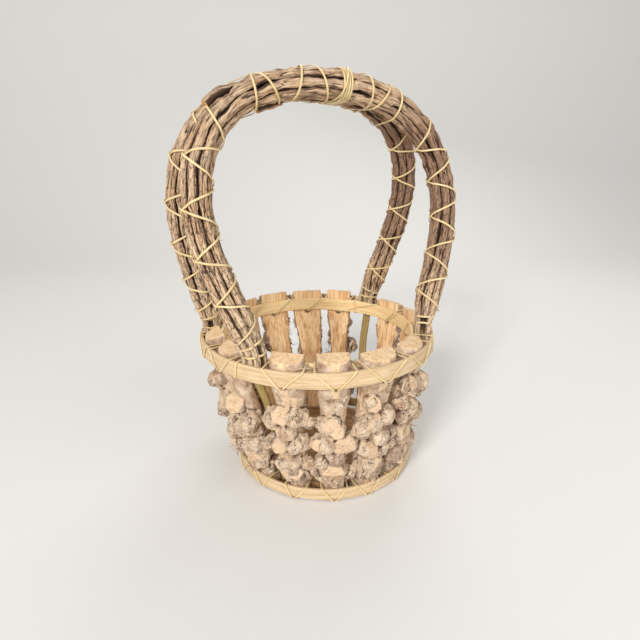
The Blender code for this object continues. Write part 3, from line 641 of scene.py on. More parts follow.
@dataclass(frozen=True)
class CrackedTwigBark(Finish):
    """Bark of thin dried vine stems, left on.

    The eye sees long strips of mauve-grey and tan bark with paler crowns, partly worn and partly painted
    highlight, furrows between them and short cracks across them, darkened with painted shade.
    """

    # The darkest colour is painted shade; the worn colour is also painted highlight, and the shade colour
    # also painted shade on the upper right leg
    strip: str = "#BD9B7E"
    worn: str = "#E3C7A4"
    tan: str = "#C0956A"
    shade: str = "#92705A"
    furrow_shade: str = "#402C1F"
    sawn: str = "#CFA066"
    # Whole stretches 45 mm long, patches 12 mm across, and fibres drawn 1.4 mm wide
    stretches: Cloud = Cloud((0.045,) * 3, 2.0)
    patches: Cloud = Cloud((0.012,) * 3, 4.0, 5.0, 0.6)
    fibres: Cloud = Cloud((0.020, 0.0024, 1.0), 4.0, 2.2, 0.5)
    plate: tuple[float, float, float] = (0.0135, 0.0068, 1.0)
    split: tuple[float, float, float] = (0.036, 0.0046, 1.0)

    def paint(self, on: Painter) -> tuple[Socket, Socket]:
        """Colour and height of the surface."""
        where, unrolled = on.places(), on.unrolled()
        crevice, raised, cut, tone, plated = on.marks(Mark.CREVICE, Mark.RIDGE, Mark.SAWN, Mark.TONE,
                                                      Mark.PLATED)
        stretches, patches = on.pattern(where, self.stretches), on.pattern(where, self.patches)
        fibres = on.pattern(unrolled, self.fibres)
        # Plates on the legs, and long splits where the twigs are drawn tight; their cracks get painted shade
        plates = on.product(on.cracks(unrolled, self.plate, 0.105, "2D"), plated,
                            on.stretch(patches, 0.30, 0.42))
        splits = on.product(on.cracks(unrolled, self.split, 0.10, "2D"),
                            on.stretch(patches, 0.34, 0.50), on.stretch(plated, 0.4, 1.0, 1.0, 0.45))
        bark = on.colours(fibres, (0.24, self.shade), (0.46, self.strip), (0.76, self.worn))
        # Lighter where the ridge mark is high: painted highlight, partly wear on the crowns
        bark = on.layers(bark, (self.tan, stretches, 0.44, 0.60, 0.55),
                         (self.shade, patches, 0.52, 0.66, 0.6), (self.worn, raised, 0.25, 0.9, 0.6))
        bark = on.over(bark, self.worn, tone)
        # Painted shade on the upper right leg, where the value is below zero
        bark = on.layers(bark, (self.shade, tone, 0.0, -0.5, 0.85))
        bark = on.over(bark, self.furrow_shade, on.product(plates, 0.7))
        bark = on.over(bark, self.furrow_shade, on.product(splits, 0.5))
        # Painted shade in the furrows, in the breaks and between the twigs, weaker near the pale feet
        gap = on.product(on.stretch(crevice, 0.25, 0.9, 0, 0.95), on.stretch(tone, 0, 1, 1, 0.45))
        bark = on.over(bark, self.furrow_shade, gap)
        bark = on.over(bark, self.sawn, cut)
        return bark, on.total((0.6, fibres), (-0.7, plates), (-0.7, splits))


@dataclass(frozen=True)
class BentHoopWood(Finish):
    """Thin riven strips of ash-like wood, shaved and bent round.

    The eye sees a pale tan band whose grain runs along it in fine broken lines, with grey-brown
    handling marks and slightly darker edges.
    """

    light: str = "#E5CCA6"
    mid: str = "#D2B48B"
    dark: str = "#AC8C66"
    scuff: str = "#937757"
    # Growth lines 0.9 mm apart, drawn 2.2 mm apart so that they show
    grain: Cloud = Cloud((0.055, 0.0022, 1.0), 5.0, 0.4, 0.5)
    clouds: Cloud = Cloud((0.022,) * 3, 4.0, 1.0)
    specks: Cloud = Cloud((0.006, 0.0018, 1.0), 2.0, 4.0)

    def paint(self, on: Painter) -> tuple[Socket, Socket]:
        """Colour and height of the surface."""
        unrolled = on.unrolled()
        grain, clouds = on.pattern(unrolled, self.grain), on.pattern(on.places(), self.clouds)
        specks = on.pattern(unrolled, self.specks)
        wood = on.colours(grain, (0.28, self.dark), (0.44, self.mid), (0.62, self.light))
        wood = on.layers(wood, (self.mid, clouds, 0.45, 0.65, 0.6), (self.scuff, specks, 0.64, 0.74, 0.7))
        return wood, grain


@dataclass(frozen=True)
class SplitCane(Finish):
    """Binding cane: the glossy outer skin of rattan, split to a flat strand.

    The eye sees a honey-yellow strand with a faint shine, fine lines along it and browner stretches.
    """

    light: str = "#F1DEB0"
    mid: str = "#E2C78F"
    dark: str = "#B8955B"
    lines: Cloud = Cloud((0.030, 0.0007, 1.0), 3.0)
    stretches: Cloud = Cloud((0.040, 1.0, 1.0), 2.0, 2.0)

    def paint(self, on: Painter) -> tuple[Socket, Socket]:
        """Colour and height of the surface."""
        unrolled = on.unrolled()
        lines, stretches = on.pattern(unrolled, self.lines), on.pattern(unrolled, self.stretches)
        cane = on.colours(lines, (0.30, self.dark), (0.45, self.mid), (0.62, self.light))
        return on.layers(cane, (self.mid, stretches, 0.5, 0.62, 0.6)), lines


@dataclass(frozen=True)
class OliveSplitCore(Finish):
    """Flat split of a whole cane with its inside turned out, weathered olive-brown.

    The eye sees a matt ribbon with long fibres; where it goes in between the twigs it is painted dark as
    shade.
    """

    light: str = "#B79B62"
    mid: str = "#97804A"
    dark: str = "#665431"
    shade_between_twigs: str = "#35281B"
    fibres: Cloud = Cloud((0.060, 0.0014, 1.0), 4.0)

    def paint(self, on: Painter) -> tuple[Socket, Socket]:
        """Colour and height of the surface."""
        fibres = on.pattern(on.unrolled(), self.fibres)
        wood = on.colours(fibres, (0.30, self.dark), (0.46, self.mid), (0.66, self.light))
        # Painted shade where the core goes in between the twigs
        return on.over(wood, self.shade_between_twigs, on.marks(Mark.CREVICE)[0]), fibres


@dataclass(frozen=True)
class SawnBoardWood(Finish):
    """Plain sawn pine-like board, unfinished.

    The eye sees straight warm grain along one direction and faint cross marks of the saw.
    """

    light: str = "#B8946A"
    mid: str = "#9A7850"
    dark: str = "#6F5436"
    grain: Cloud = Cloud((0.090, 0.004, 0.02), 5.0, 0.0, 0.5)
    saw: Cloud = Cloud((0.0025, 0.05, 0.05), 1.0, 2.0)

    def paint(self, on: Painter) -> tuple[Socket, Socket]:
        """Colour and height of the surface."""
        where = on.places()
        grain, saw = on.pattern(where, self.grain), on.pattern(where, self.saw)
        wood = on.colours(grain, (0.30, self.dark), (0.46, self.mid), (0.64, self.light))
        return on.layers(wood, (self.dark, saw, 0.60, 0.72, 0.25)), grain


ROOT = WeatheredRootWood("weathered_root_wood", 0.82, 0.0006)
BARK = CrackedTwigBark("cracked_twig_bark", 0.88, 0.0006)
HOOP = BentHoopWood("bent_hoop_wood", 0.62, 0.0002)
# Painted light: the same hoop wood in paler colours, for the inner rim hoop
PAINTED_LIGHT_HOOP = BentHoopWood("hoop_wood_painted_light", 0.62, 0.0002, "#FDE6B2", "#F6D49C", "#D2AC74",
                              "#B48E60")
CANE = SplitCane("split_cane", 0.42, 0.0001)
CORE = OliveSplitCore("olive_split_core", 0.66, 0.0002)
BOARD = SawnBoardWood("sawn_board_wood", 0.74, 0.0003)


def fit_piece(piece: bpy.types.Object, finish: Finish, nodes: Sequence[str] = ()) -> None:
    """Dress a piece, let it ride on the basket and hide the CAD nodes that it replaces.

    Args:
        piece: The new piece.
        finish: Its material.
        nodes: CAD nodes that it replaces.
    """
    piece.data.materials.clear()
    piece.data.materials.append(finish.material())
    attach(piece, BODY)
    if nodes:
        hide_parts(*nodes)
    LOG.info("%s: %d points", piece.name, len(piece.data.vertices))


# The wall


@dataclass(frozen=True)
class Ring:
    """A round piece of the frame: its outer radius, its lower and upper edge and where its middle lies."""

    radius: float
    bottom: float
    top: float
    middle: float

    @classmethod
    def of(cls, node: str) -> "Ring":
        """Read a ring from the frame."""
        low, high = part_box(node)
        return cls((high.x - low.x) / 2, low.z, high.z, (low.x + high.x) / 2)


@dataclass(frozen=True)
class Wall:
    """The leaning ring of staves, with its hoops as the frame has them."""

    rim: Ring = field(default_factory=lambda: Ring.of("rim_outer_hoop"))
    inner: Ring = field(default_factory=lambda: Ring.of("rim_inner_hoop"))
    base: Ring = field(default_factory=lambda: Ring.of("base_hoop"))
    board: Ring = field(default_factory=lambda: Ring.of("base_board"))
    hoop_thickness: float = 0.0036
    clearance: float = 0.0003
    rim_angles: tuple[float, ...] = (12, 35, 75, 97, 122, 144, 165, 204, 222.5, 255.5, 278, 301, 325)
    foot_angles: tuple[float, ...] = (13, 34, 76, 98, 120, 143, 164, 207, 229, 251.5, 275.5, 296, 318)

    @property
    def ring_radius(self) -> float:
        """Radius midway between the rim hoops."""
        return (self.rim.radius - self.hoop_thickness + self.inner.radius) / 2

    def share(self, height: Any) -> Any:
        """How far up the wall a height is, from 0 at the base hoop to 1 at the rim hoops."""
        return np.clip((height - self.base.top) / (self.rim.bottom - self.base.top), 0, 1)

    def middle(self, height: Any) -> Any:
        """Where the leaning wall's middle lies along X at a height."""
        return mix(self.base.middle, self.rim.middle, self.share(height))

    def face(self, height: Any) -> Any:
        """Radius of the staves' split faces at a height."""
        return mix(self.board.radius, self.inner.radius, self.share(height)) + self.clearance

    def stave_degrees(self, number: int, height: float) -> float:
        """Where a stave's middle stands at a height, in degrees round the wall."""
        return float(mix(self.foot_angles[number - 1], self.rim_angles[number - 1], ease(self.share(height))))

    def point(self, angle: Any, radius: Any, height: Any) -> Array:
        """A point of the leaning wall.

        Args:
            angle: Angle round the wall in radians.
            radius: Distance from the wall's middle.
            height: Height over the ground.

        Returns:
            The point, or one row for each value.
        """
        angle, radius, height = np.broadcast_arrays(angle, radius, height)
        return np.stack([self.middle(height) + radius * np.cos(angle), radius * np.sin(angle),
                         height * np.ones_like(angle)], axis=-1)


@dataclass
class Hoop:
    """A bent band of wood, with edges that aren't quite even and, where it has one, its lapped end."""

    node: str
    wall: Wall
    seed: int
    finish: BentHoopWood = HOOP
    edge_wave: float = 0.0005
    face_wave: float = 0.0003
    edge_cell: float = 0.006
    face_cell: float = 0.009
    wave_reach: float = 0.02
    corner: float = 0.0009
    stations: int = 320
    corner_steps: int = 3
    face_steps: int = 6
    lap_angle: float | None = None
    lap_edge: float = 0.0015
    lap_flat: float = 0.012
    lap_length: float = 0.052
    lap_thickness: float = 0.0022

    def section(self, height: float, thickness: float) -> Array:
        """Rounded outline of the band: pairs of distances up and outward."""
        outline = []
        half, deep = height / 2 - self.corner, thickness / 2 - self.corner
        for quarter, (up, out) in enumerate(((1, 1), (-1, 1), (-1, -1), (1, -1))):
            for step in range(self.corner_steps + 1):
                turn = math.pi / 2 * ((1 - quarter) - step / self.corner_steps)
                outline.append((up * half + self.corner * math.sin(turn),
                                out * deep + self.corner * math.cos(turn)))
            if up * out > 0:
                start, end = outline[-1], (-up * half, outline[-1][1])
                outline += [(mix(start[0], end[0], step / self.face_steps), start[1])
                            for step in range(1, self.face_steps)]
        return np.array(outline)

    def build(self) -> None:
        """Make the hoop and let it replace its node."""
        ring = Ring.of(self.node)
        turn = np.arange(self.stations) * math.tau / self.stations
        away = radial(turn)
        circle = away * self.wave_reach
        thickness = self.wall.hoop_thickness
        radius = ring.radius - thickness / 2 - self.face_wave
        outline = np.repeat(self.section(ring.top - ring.bottom, thickness)[None], self.stations, axis=0)
        top_edge, bottom_edge = (noise(circle, self.edge_cell, self.seed + number, 3) * self.edge_wave
                                 for number in range(2))
        upper = outline[..., 0] > 0
        outline[..., 0] += np.where(upper, -abs(top_edge)[:, None], abs(bottom_edge)[:, None])
        radius = radius + noise(circle, self.face_cell, self.seed + 2, 2) * self.face_wave
        if self.lap_angle is not None:
            past = (turn - self.lap_angle) % math.tau * ring.radius
            lap = (past < self.lap_length) * ramp(past, 0, self.lap_edge)
            lap = lap * (1 - ramp(past, self.lap_flat, self.lap_length))
            inner = outline[..., 1] < 0
            outline[..., 1] -= np.where(inner, (lap * self.lap_thickness)[:, None], 0)
        line = away * radius[:, None] + np.array([ring.middle, 0, (ring.top + ring.bottom) / 2])
        sweep = Sweep(line, np.tile(UP, (self.stations, 1)), away, outline, closed=True)
        fit_piece(sweep.build(self.node + "_band"), self.finish, [self.node])


@dataclass
class Rootlets:
    """Hair-fine roots and torn fibres that stand off the staves, gathered into one piece."""

    thickness: float = 0.0009
    lengths: tuple[float, float] = (0.005, 0.013)
    bends: int = 6
    sides: int = 5
    rooted: float = 0.001
    tuck_count: int = 5
    tuck_widths: tuple[float, float] = (0.0012, 0.0022)
    tuck_spread: float = 0.006
    tuck_wave: float = 0.002
    tuck_depth: float = 0.004
    tuck_rise: float = 0.0014
    tuck_sag: float = 0.0015
    points: list[Array] = field(default_factory=list)
    faces: list[list[int]] = field(default_factory=list)
    shade: list[Array] = field(default_factory=list)
    count: int = 0

    def add(self, line: Array, thickness: float, shade: float) -> None:
        """Add one fibre along a line, thinner towards its end.

        Args:
            line: Points from its root to its tip.
            thickness: Its diameter at the root.
            shade: How dark it is, from 0 to 1.
        """
        side, out = frames_along(line, np.tile([0.31, 0.27, 0.91], (len(line), 1)))
        turn = np.arange(self.sides) * math.tau / self.sides
        radius = thickness / 2 * np.linspace(1, 0.35, len(line))[:, None]
        skin = (line[:, None] + side[:, None] * (np.cos(turn) * radius)[..., None]
                + out[:, None] * (np.sin(turn) * radius)[..., None])
        for row, place in product(range(len(line) - 1), range(self.sides)):
            here, after = row * self.sides + place, row * self.sides + (place + 1) % self.sides
            self.faces.append([self.count + spot for spot in
                               (here, here + self.sides, after + self.sides, after)])
        last = (len(line) - 1) * self.sides
        self.faces.append([self.count + spot for spot in range(self.sides)])
        self.faces.append([self.count + last + spot for spot in reversed(range(self.sides))])
        self.points.append(skin.reshape(-1, 3))
        self.shade.append(np.full(skin.shape[0] * self.sides, shade))
        self.count += skin.shape[0] * self.sides

    def grow(self, start: Array, direction: Array, chance: np.random.Generator) -> None:
        """Let one short crooked fibre grow from a place on a stave.

        Args:
            start: Where it leaves the stave.
            direction: Roughly where it points.
            chance: Source of its shape.
        """
        length = chance.uniform(*self.lengths)
        heading, line = unit(direction + chance.normal(0, 0.45, 3)), [start - direction * self.rooted]
        for _ in range(self.bends):
            heading = unit(heading + chance.normal(0, 0.38, 3) + np.array([0, 0, -0.10]))
            line.append(line[-1] + heading * length / self.bends)
        self.add(np.array(line), self.thickness * chance.uniform(0.6, 1.4), chance.uniform(0.2, 0.95))

    def tuck(self, wall: Wall, start: float, end: float, seed: int) -> None:
        """Lay a few split fibres between the rim hoops, from one stave to the next.

        Args:
            wall: The wall.
            start: Angle where they start, in radians.
            end: Angle where they end.
            seed: Picks their shapes.
        """
        chance = np.random.default_rng(seed)
        for number in range(self.tuck_count):
            share = np.linspace(0, 1, 14)
            radius = wall.ring_radius + chance.uniform(-self.tuck_spread, self.tuck_spread)
            radius = radius + self.tuck_wave * np.sin(share * 5 + number)
            height = wall.rim.top - self.tuck_depth + self.tuck_rise * number
            height = height + self.tuck_sag * np.sin(share * 4 + number * 2)
            line = wall.point(mix(start, end, share), radius, height)
            self.add(line, chance.uniform(*self.tuck_widths), chance.uniform(0, 0.4))

    def build(self) -> None:
        """Make the piece."""
        shade = np.concatenate(self.shade)
        flat = np.zeros_like(shade)
        marks = {mark: flat for mark in (Mark.RIDGE, Mark.SPLIT, Mark.SAWN, Mark.LAYER, Mark.BURL)}
        marks.update({Mark.CREVICE: shade, Mark.TONE: flat + 0.4})
        piece = make_piece("wall_rootlets", np.concatenate(self.points), self.faces, marks)
        fit_piece(piece, ROOT)


# Where fibres are tucked between the rim hoops: from and to in degrees, and what picks their shapes
TUCKS = ((261, 272, 5), (284, 295, 6), (307, 319, 7), (209, 216, 8), (150, 159, 9))


@dataclass(frozen=True)
class Nub:
    """One swelling of a burl: a chunk with blunt corners, or a stub that was sawn off.

    Its sizes are half its depth, width and height, in the frame of the three axes.
    """

    middle: Array
    sizes: tuple[float, float, float]
    axes: Array
    cut: Array | None
    tone: float

    @property
    def size(self) -> float:
        """Its mean half size."""
        return sum(self.sizes) / 3

    def add_to(self, mesh: bmesh.types.BMesh, chance: np.random.Generator) -> None:
        """Add it as the hull of a few points scattered over it, cut off flat where it is a stub.

        Args:
            mesh: The mesh that it is added to.
            chance: Source of the points.
        """
        spots = unit(chance.normal(0, 1, (15, 3))) * chance.uniform(0.88, 1.06, (15, 1))
        spots = (spots * self.sizes) @ self.axes
        if self.cut is not None:
            spots = np.vstack([spots, (unit(chance.normal(0, 1, (14, 3))) * self.sizes) @ self.axes])
            past = spots @ self.cut - CUT_SHARE * self.size
            spots = spots - np.maximum(past, 0)[:, None] * self.cut
        verts = [mesh.verts.new(spot) for spot in (self.middle + spots).tolist()]
        hull = bmesh.ops.convex_hull(mesh, input=verts)
        inner = {item for key in ("geom_interior", "geom_unused") for item in hull[key]
                 if isinstance(item, bmesh.types.BMVert)}
        bmesh.ops.delete(mesh, geom=list(inner), context="VERTS")


# How far out a stub was sawn off, as a share of its size
CUT_SHARE = 0.62

# Burls of the staves that the photograph shows: degrees round the wall, height and half size in
# millimetres, and whether it was sawn off
SEEN_BURLS: dict[int, tuple[tuple[float, float, float, bool], ...]] = {
    8: ((200.4, 86, 11.5, False), (203.6, 65, 10.4, False), (201.0, 36, 11.0, False),
        (200.4, 124, 8.0, False), (204.0, 108, 8.6, False), (210.5, 50, 11.5, False),
        (211.0, 84, 9.5, False)),
    9: ((223.2, 112, 11.9, False), (230.8, 92, 13.4, False), (217.5, 84, 10.0, False),
        (222.0, 58, 11.0, False), (224.0, 36, 12.8, False), (233.5, 60, 9.0, False),
        (233.0, 34, 9.5, False)),
    10: ((244.9, 116, 12.4, True), (262.0, 126, 10.6, True), (265.5, 116, 6.8, False),
         (251.9, 95, 11.2, False), (241.5, 77, 10.2, False), (259.8, 86, 12.2, False),
         (245.6, 48, 13.4, False), (256.4, 40, 14.6, False), (252.0, 66, 9.0, False),
         (261.5, 55, 8.0, False)),
    11: ((274.9, 114, 12.0, True), (268.9, 87, 10.6, True), (284.0, 86, 12.0, True),
         (278.1, 67, 12.8, False), (269.2, 59, 8.4, False), (276.7, 36, 16.0, False),
         (285.0, 38, 8.6, False), (268.8, 36, 8.2, False), (266.0, 48, 9.0, False)),
    12: ((294.9, 136, 10.0, False), (302.7, 110, 9.4, False), (291.8, 106, 13.2, True),
         (298.0, 64, 12.2, False), (308.0, 86, 11.2, False), (299.4, 36, 15.6, False),
         (306.6, 62, 8.8, False), (291.0, 44, 8.6, False)),
    13: ((316.8, 145, 10.8, False), (330.0, 116, 10.4, False), (328.5, 140, 8.0, False),
         (330.5, 80, 9.4, True), (318.9, 98, 10.9, False), (327.0, 57, 10.9, False),
         (317.0, 46, 11.6, False), (317.5, 120, 9.5, False), (310.5, 70, 9.5, False),
         (325.0, 34, 9.8, False)),
}


@dataclass
class Stave:
    """One split root with its burls, carved from its CAD solid by a fine remesh and carved noise."""

    number: int
    wall: Wall
    rootlets: Rootlets
    voxel: float = 0.0011
    smoothing: int = 2
    top_smoothing: int = 14
    nub_rounds: tuple[tuple[int, float, float], ...] = ((11, 0.0046, 0.0074), (12, 0.0026, 0.0042))
    flake_round: tuple[int, float, float] = (26, 0.0026, 0.0050)
    least_proud: float = 0.0125
    flake_proud: float = 0.0020
    flake_facing: float = 0.5
    cut_chance: float = 0.16
    # Burls that the photograph doesn't show: degrees to both sides, and millimetres from foot to top
    hidden_rows: int = 7
    hidden_lean: float = 5.2
    hidden_heights: tuple[float, float] = (34, 128)
    hidden_spread: float = 5
    hidden_sizes: tuple[float, float] = (13.0, 8.5)
    burl_depth: float = 0.0125
    deepest: float = 0.0125
    smoothing_loss: float = 0.0018
    fringe_count: int = 90
    least_sawn_area: float = 45 * MM * MM
    flat_angle: float = math.radians(0.4)
    weld: float = 0.00001
    foot_gap: float = 0.001
    burl_gap: float = 0.004
    nub_gap: float = 0.008
    cut_margin: float = 0.007
    cut_tolerance: float = 0.0008
    nub_reach: float = 0.004
    # Heights over the rim hoops' lower edge, over their upper edge, and over the base hoop
    held_zone: tuple[float, float] = (0.0, 0.004)
    free_zone: tuple[float, float] = (-0.007, -0.001)
    released_zone: tuple[float, float] = (0.0005, 0.003)
    worn_zone: tuple[float, float] = (0.001, 0.004)
    top_zone: tuple[float, float] = (0.001, 0.003)
    foot_zone: tuple[float, float] = (0.001, 0.006)
    low_zone: tuple[float, float] = (0.014, 0.030)
    # Depths over the split face, and over the nearest nub
    flat_depths: tuple[float, float] = (0.0018, 0.0034)
    split_depths: tuple[float, float] = (0.002, 0.005)
    burl_depths: tuple[float, float] = (0.012, 0.018)
    layered_depths: tuple[float, float] = (0.0012, 0.0036)
    # Patterns that are carved and coloured
    swirl: Relief = Relief(1.0, 0.010, 0, 2)
    lumps: Relief = Relief(MM, 0.009, 1)
    cracks: Relief = Relief(1.0, 0.011, 3)
    root_ridges: Relief = Relief(1.1 * MM, (0.0042, 0.0042, 0.018), 4)
    neck_waves: Relief = Relief(0.75 * MM, (0.0060, 0.0060, 0.045), 5, 2)
    fibres: Relief = Relief(0.40 * MM, (0.0044, 0.0044, 0.080), 6)
    tears: Relief = Relief(3.2, (0.0046, 0.0046, 0.0080), 7)
    torn_shade: Relief = Relief(1.0, (0.005, 0.005, 0.014), 8, 2)
    folded_parts: Relief = Relief(1.0, 0.016, 9)
    top_wear: Relief = Relief(0.9, 0.007, 10)
    bark_left: Relief = Relief(1.0, (0.0050, 0.0050, 0.014), 12, 2)

    @property
    def node(self) -> str:
        """Name of the stave's CAD node."""
        return f"stave_{self.number:02d}"

    def solid(self) -> bmesh.types.BMesh:
        """The CAD solid, with the points that its faces share welded."""
        mesh = bmesh.new()
        mesh.from_mesh(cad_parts[self.node].data)
        bmesh.ops.remove_doubles(mesh, verts=mesh.verts, dist=self.weld)
        mesh.faces.ensure_lookup_table()
        mesh.normal_update()
        return mesh

    def sawn_faces(self, mesh: bmesh.types.BMesh) -> set[int]:
        """Numbers of the faces that belong to large flat cuts: stubs sawn off, and the two ends."""
        seen, sawn = set(), set()
        for face in mesh.faces:
            if face.index in seen:
                continue
            group, waiting = [], [face]
            seen.add(face.index)
            while waiting:
                one = waiting.pop()
                group.append(one)
                for edge in one.edges:
                    for other in edge.link_faces:
                        if other.index not in seen and other.normal.angle(face.normal, 1) < self.flat_angle:
                            seen.add(other.index)
                            waiting.append(other)
            area = sum(one.calc_area() for one in group)
            centre = sum((one.calc_center_median() for one in group), Vector()) / len(group)
            outward = Vector((centre.x - self.wall.middle(centre.z), centre.y, 0)).normalized()
            facing = face.normal.dot(outward)
            an_end = abs(face.normal.z) > 0.8
            if len(group) > 2 and area > self.least_sawn_area and (facing > 0.3 or an_end):
                sawn.update(one.index for one in group)
        return sawn

    def burls(self, chance: np.random.Generator) -> list[Nub]:
        """The stave's large burls, as the photograph shows them or in the same manner.

        Args:
            chance: Source of what the photograph doesn't show.

        Returns:
            The burls, standing in the wall.
        """
        wall, places = self.wall, list(SEEN_BURLS.get(self.number, ()))
        if not places:
            for row, height in enumerate(np.linspace(*self.hidden_heights, self.hidden_rows)):
                side = (self.hidden_lean if row % 2 else -self.hidden_lean) * chance.uniform(0.5, 1.1)
                middle = wall.stave_degrees(self.number, height * MM)
                height = height + chance.uniform(-self.hidden_spread, self.hidden_spread)
                half = mix(*self.hidden_sizes, row / (self.hidden_rows - 1)) * chance.uniform(0.85, 1.1)
                places.append((middle + side, height, half, bool(chance.random() < self.cut_chance)))
        found = []
        for degrees, height, half, cut in places:
            angle, height, half = math.radians(degrees), height * MM, half * MM + self.smoothing_loss
            deep = min(half, self.deepest)
            tall = min(half, height - wall.base.top - wall.clearance,
                       wall.rim.bottom - self.burl_gap - height)
            radius = wall.face(height) + self.burl_depth + 0.3 * deep
            out = radial(angle)
            axes = np.array([out, [-out[1], out[0], 0], UP])
            tilt = out + 0.35 * chance.normal(0, 1, 3) if cut else None
            found.append(Nub(wall.point(angle, radius, height), (deep, half, tall), axes,
                             unit(tilt) if cut else None, 0.85 if cut else float(chance.uniform(0, 1))))
        return found

    def add_nubs(self, mesh: bmesh.types.BMesh, sawn: set[int]) -> list[Nub]:
        """Add the large burls, then smaller swellings and stubs all over them.

        Args:
            mesh: The solid that they are added to.
            sawn: Numbers of its sawn faces.

        Returns:
            What was added.
        """
        chance = np.random.default_rng(self.number * 17)
        cuts = [mesh.faces[index].calc_center_median() for index in sawn]
        wall, nubs = self.wall, self.burls(chance)
        for nub in nubs:
            nub.add_to(mesh, chance)
        rounds = [(*sizes, self.least_proud, 1.0) for sizes in self.nub_rounds]
        if self.number not in SEEN_BURLS:
            rounds.append((*self.flake_round, self.flake_proud, self.flake_facing))
        for count, smallest, largest, least_proud, most_facing in rounds:
            flaky = most_facing < 1
            mesh.normal_update()
            mesh.faces.ensure_lookup_table()
            faces = [face for face in mesh.faces if face.index not in sawn
                     and (not flaky or self.sideways(face))]
            areas = np.array([face.calc_area() for face in faces])
            stubs = [nub for nub in nubs if nub.cut is not None]
            placed = 0
            for _ in range(count * 14):
                if placed == count:
                    break
                face = faces[chance.choice(len(faces), p=areas / areas.sum())]
                shares = chance.dirichlet(np.ones(len(face.verts)))
                spot = sum((vert.co * float(share) for vert, share in zip(face.verts, shares)), Vector())
                size = float(chance.uniform(smallest, largest))
                outward = Vector((spot.x - wall.middle(spot.z), spot.y, 0))
                proud = outward.length - wall.face(spot.z)
                free = wall.base.top + self.foot_gap + size < spot.z < wall.rim.bottom - self.nub_gap - size
                near_cut = any((spot - one).length < size + self.cut_margin for one in cuts)
                near_cut = near_cut or any((np.array(spot) - stub.middle) @ stub.cut > 0.3 * stub.size
                                           and (spot - Vector(stub.middle)).length < 1.15 * stub.size
                                           for stub in stubs)
                away = np.array(outward.normalized())
                facing = face.normal.dot(away)
                outside = -0.3 <= facing <= most_facing and proud >= max(least_proud, 0.8 * size)
                if not free or near_cut or not outside:
                    continue
                placed += 1
                axis = np.array(face.normal)
                side = unit(np.cross(axis, unit(chance.normal(0, 1, 3))))
                axes = np.array([axis, side, np.cross(axis, side)])
                sizes = tuple(float(share) * size for share in chance.uniform(0.65, 1.05, 3))
                cut = unit(axis + 0.3 * chance.normal(0, 1, 3)) if chance.random() < self.cut_chance else None
                # Chunks on the torn sides get values below zero, which paint them with shade
                tone = float(chance.uniform(-0.6, 0.1)) if flaky else float(chance.uniform(0, 1))
                nub = Nub(np.array(spot) - axis * size * 0.3, sizes, axes, cut, tone if cut is None else 0.9)
                nub.add_to(mesh, chance)
                nubs.append(nub)
        return nubs

    def sideways(self, face: bmesh.types.BMFace) -> bool:
        """Whether a face belongs to one of the stave's two torn sides."""
        middle = face.calc_center_median()
        outward = Vector((middle.x - self.wall.middle(middle.z), middle.y, 0))
        proud = outward.length - self.wall.face(middle.z)
        return abs(face.normal.dot(outward.normalized())) < self.flake_facing and proud < self.least_proud

    def remesh(self, mesh: bmesh.types.BMesh) -> Skin:
        """Turn the solid and its nubs into one fine even skin."""
        data = bpy.data.meshes.new("rough_stave")
        mesh.to_mesh(data)
        rough = put_in_scene("rough_stave", data)
        fine = rough.modifiers.new("fine", "REMESH")
        fine.mode = "VOXEL"
        fine.voxel_size = self.voxel * 1
        shaped = rough.evaluated_get(bpy.context.evaluated_depsgraph_get()).to_mesh()
        points = np.zeros(len(shaped.vertices) * 3)
        shaped.vertices.foreach_get("co", points)
        corners = np.zeros(len(shaped.loops), np.int64)
        shaped.loops.foreach_get("vertex_index", corners)
        skin = Skin(points.reshape(-1, 3), corners.reshape(-1, 4))
        bpy.data.objects.remove(rough)
        bpy.data.meshes.remove(data)
        return skin

    def build(self) -> None:
        """Make the stave and let it replace its node."""
        mesh = self.solid()
        sawn_faces = self.sawn_faces(mesh)
        tree = BVHTree.FromBMesh(mesh)
        nubs = self.add_nubs(mesh, sawn_faces)
        skin = self.remesh(mesh)
        mesh.free()
        nearest = [tree.find_nearest(point) for point in skin.points.tolist()]
        on_solid = np.array([list(place) for place, _, _, _ in nearest])
        sawn = np.array([float(index in sawn_faces and distance < self.voxel)
                         for _, _, index, distance in nearest])
        height, wall = skin.points[:, 2], self.wall
        held = fade(height, wall.rim.bottom, self.held_zone)
        held = held * (1 - fade(height, wall.rim.top, self.released_zone))
        above = height > wall.rim.top + self.released_zone[0]
        crisp = np.where(above, 0.0, np.maximum(sawn, held))
        depth = np.hypot(skin.points[:, 0] - wall.middle(height), skin.points[:, 1]) - wall.face(height)
        near_solid = np.array([distance for *_, distance in nearest]) < self.voxel
        crisp = np.maximum(crisp, (1 - ramp(depth, *self.flat_depths)) * near_solid)
        worn = fade(height, wall.rim.top, self.worn_zone)[:, None]
        rounded = mix(skin.smoothed(skin.points, self.smoothing),
                      skin.smoothed(skin.points, self.top_smoothing), worn)
        skin.points = mix(rounded, on_solid, crisp[:, None])
        for nub in nubs:
            if nub.cut is not None:
                away = skin.points - nub.middle
                along = away @ nub.cut
                inside = np.linalg.norm(away, axis=1) < nub.size * 1.05
                sawn = np.maximum(sawn, (abs(along - CUT_SHARE * nub.size) < self.cut_tolerance) * inside)
        self.carve(skin, np.clip(skin.smoothed(sawn, 1), 0, 1), nubs)

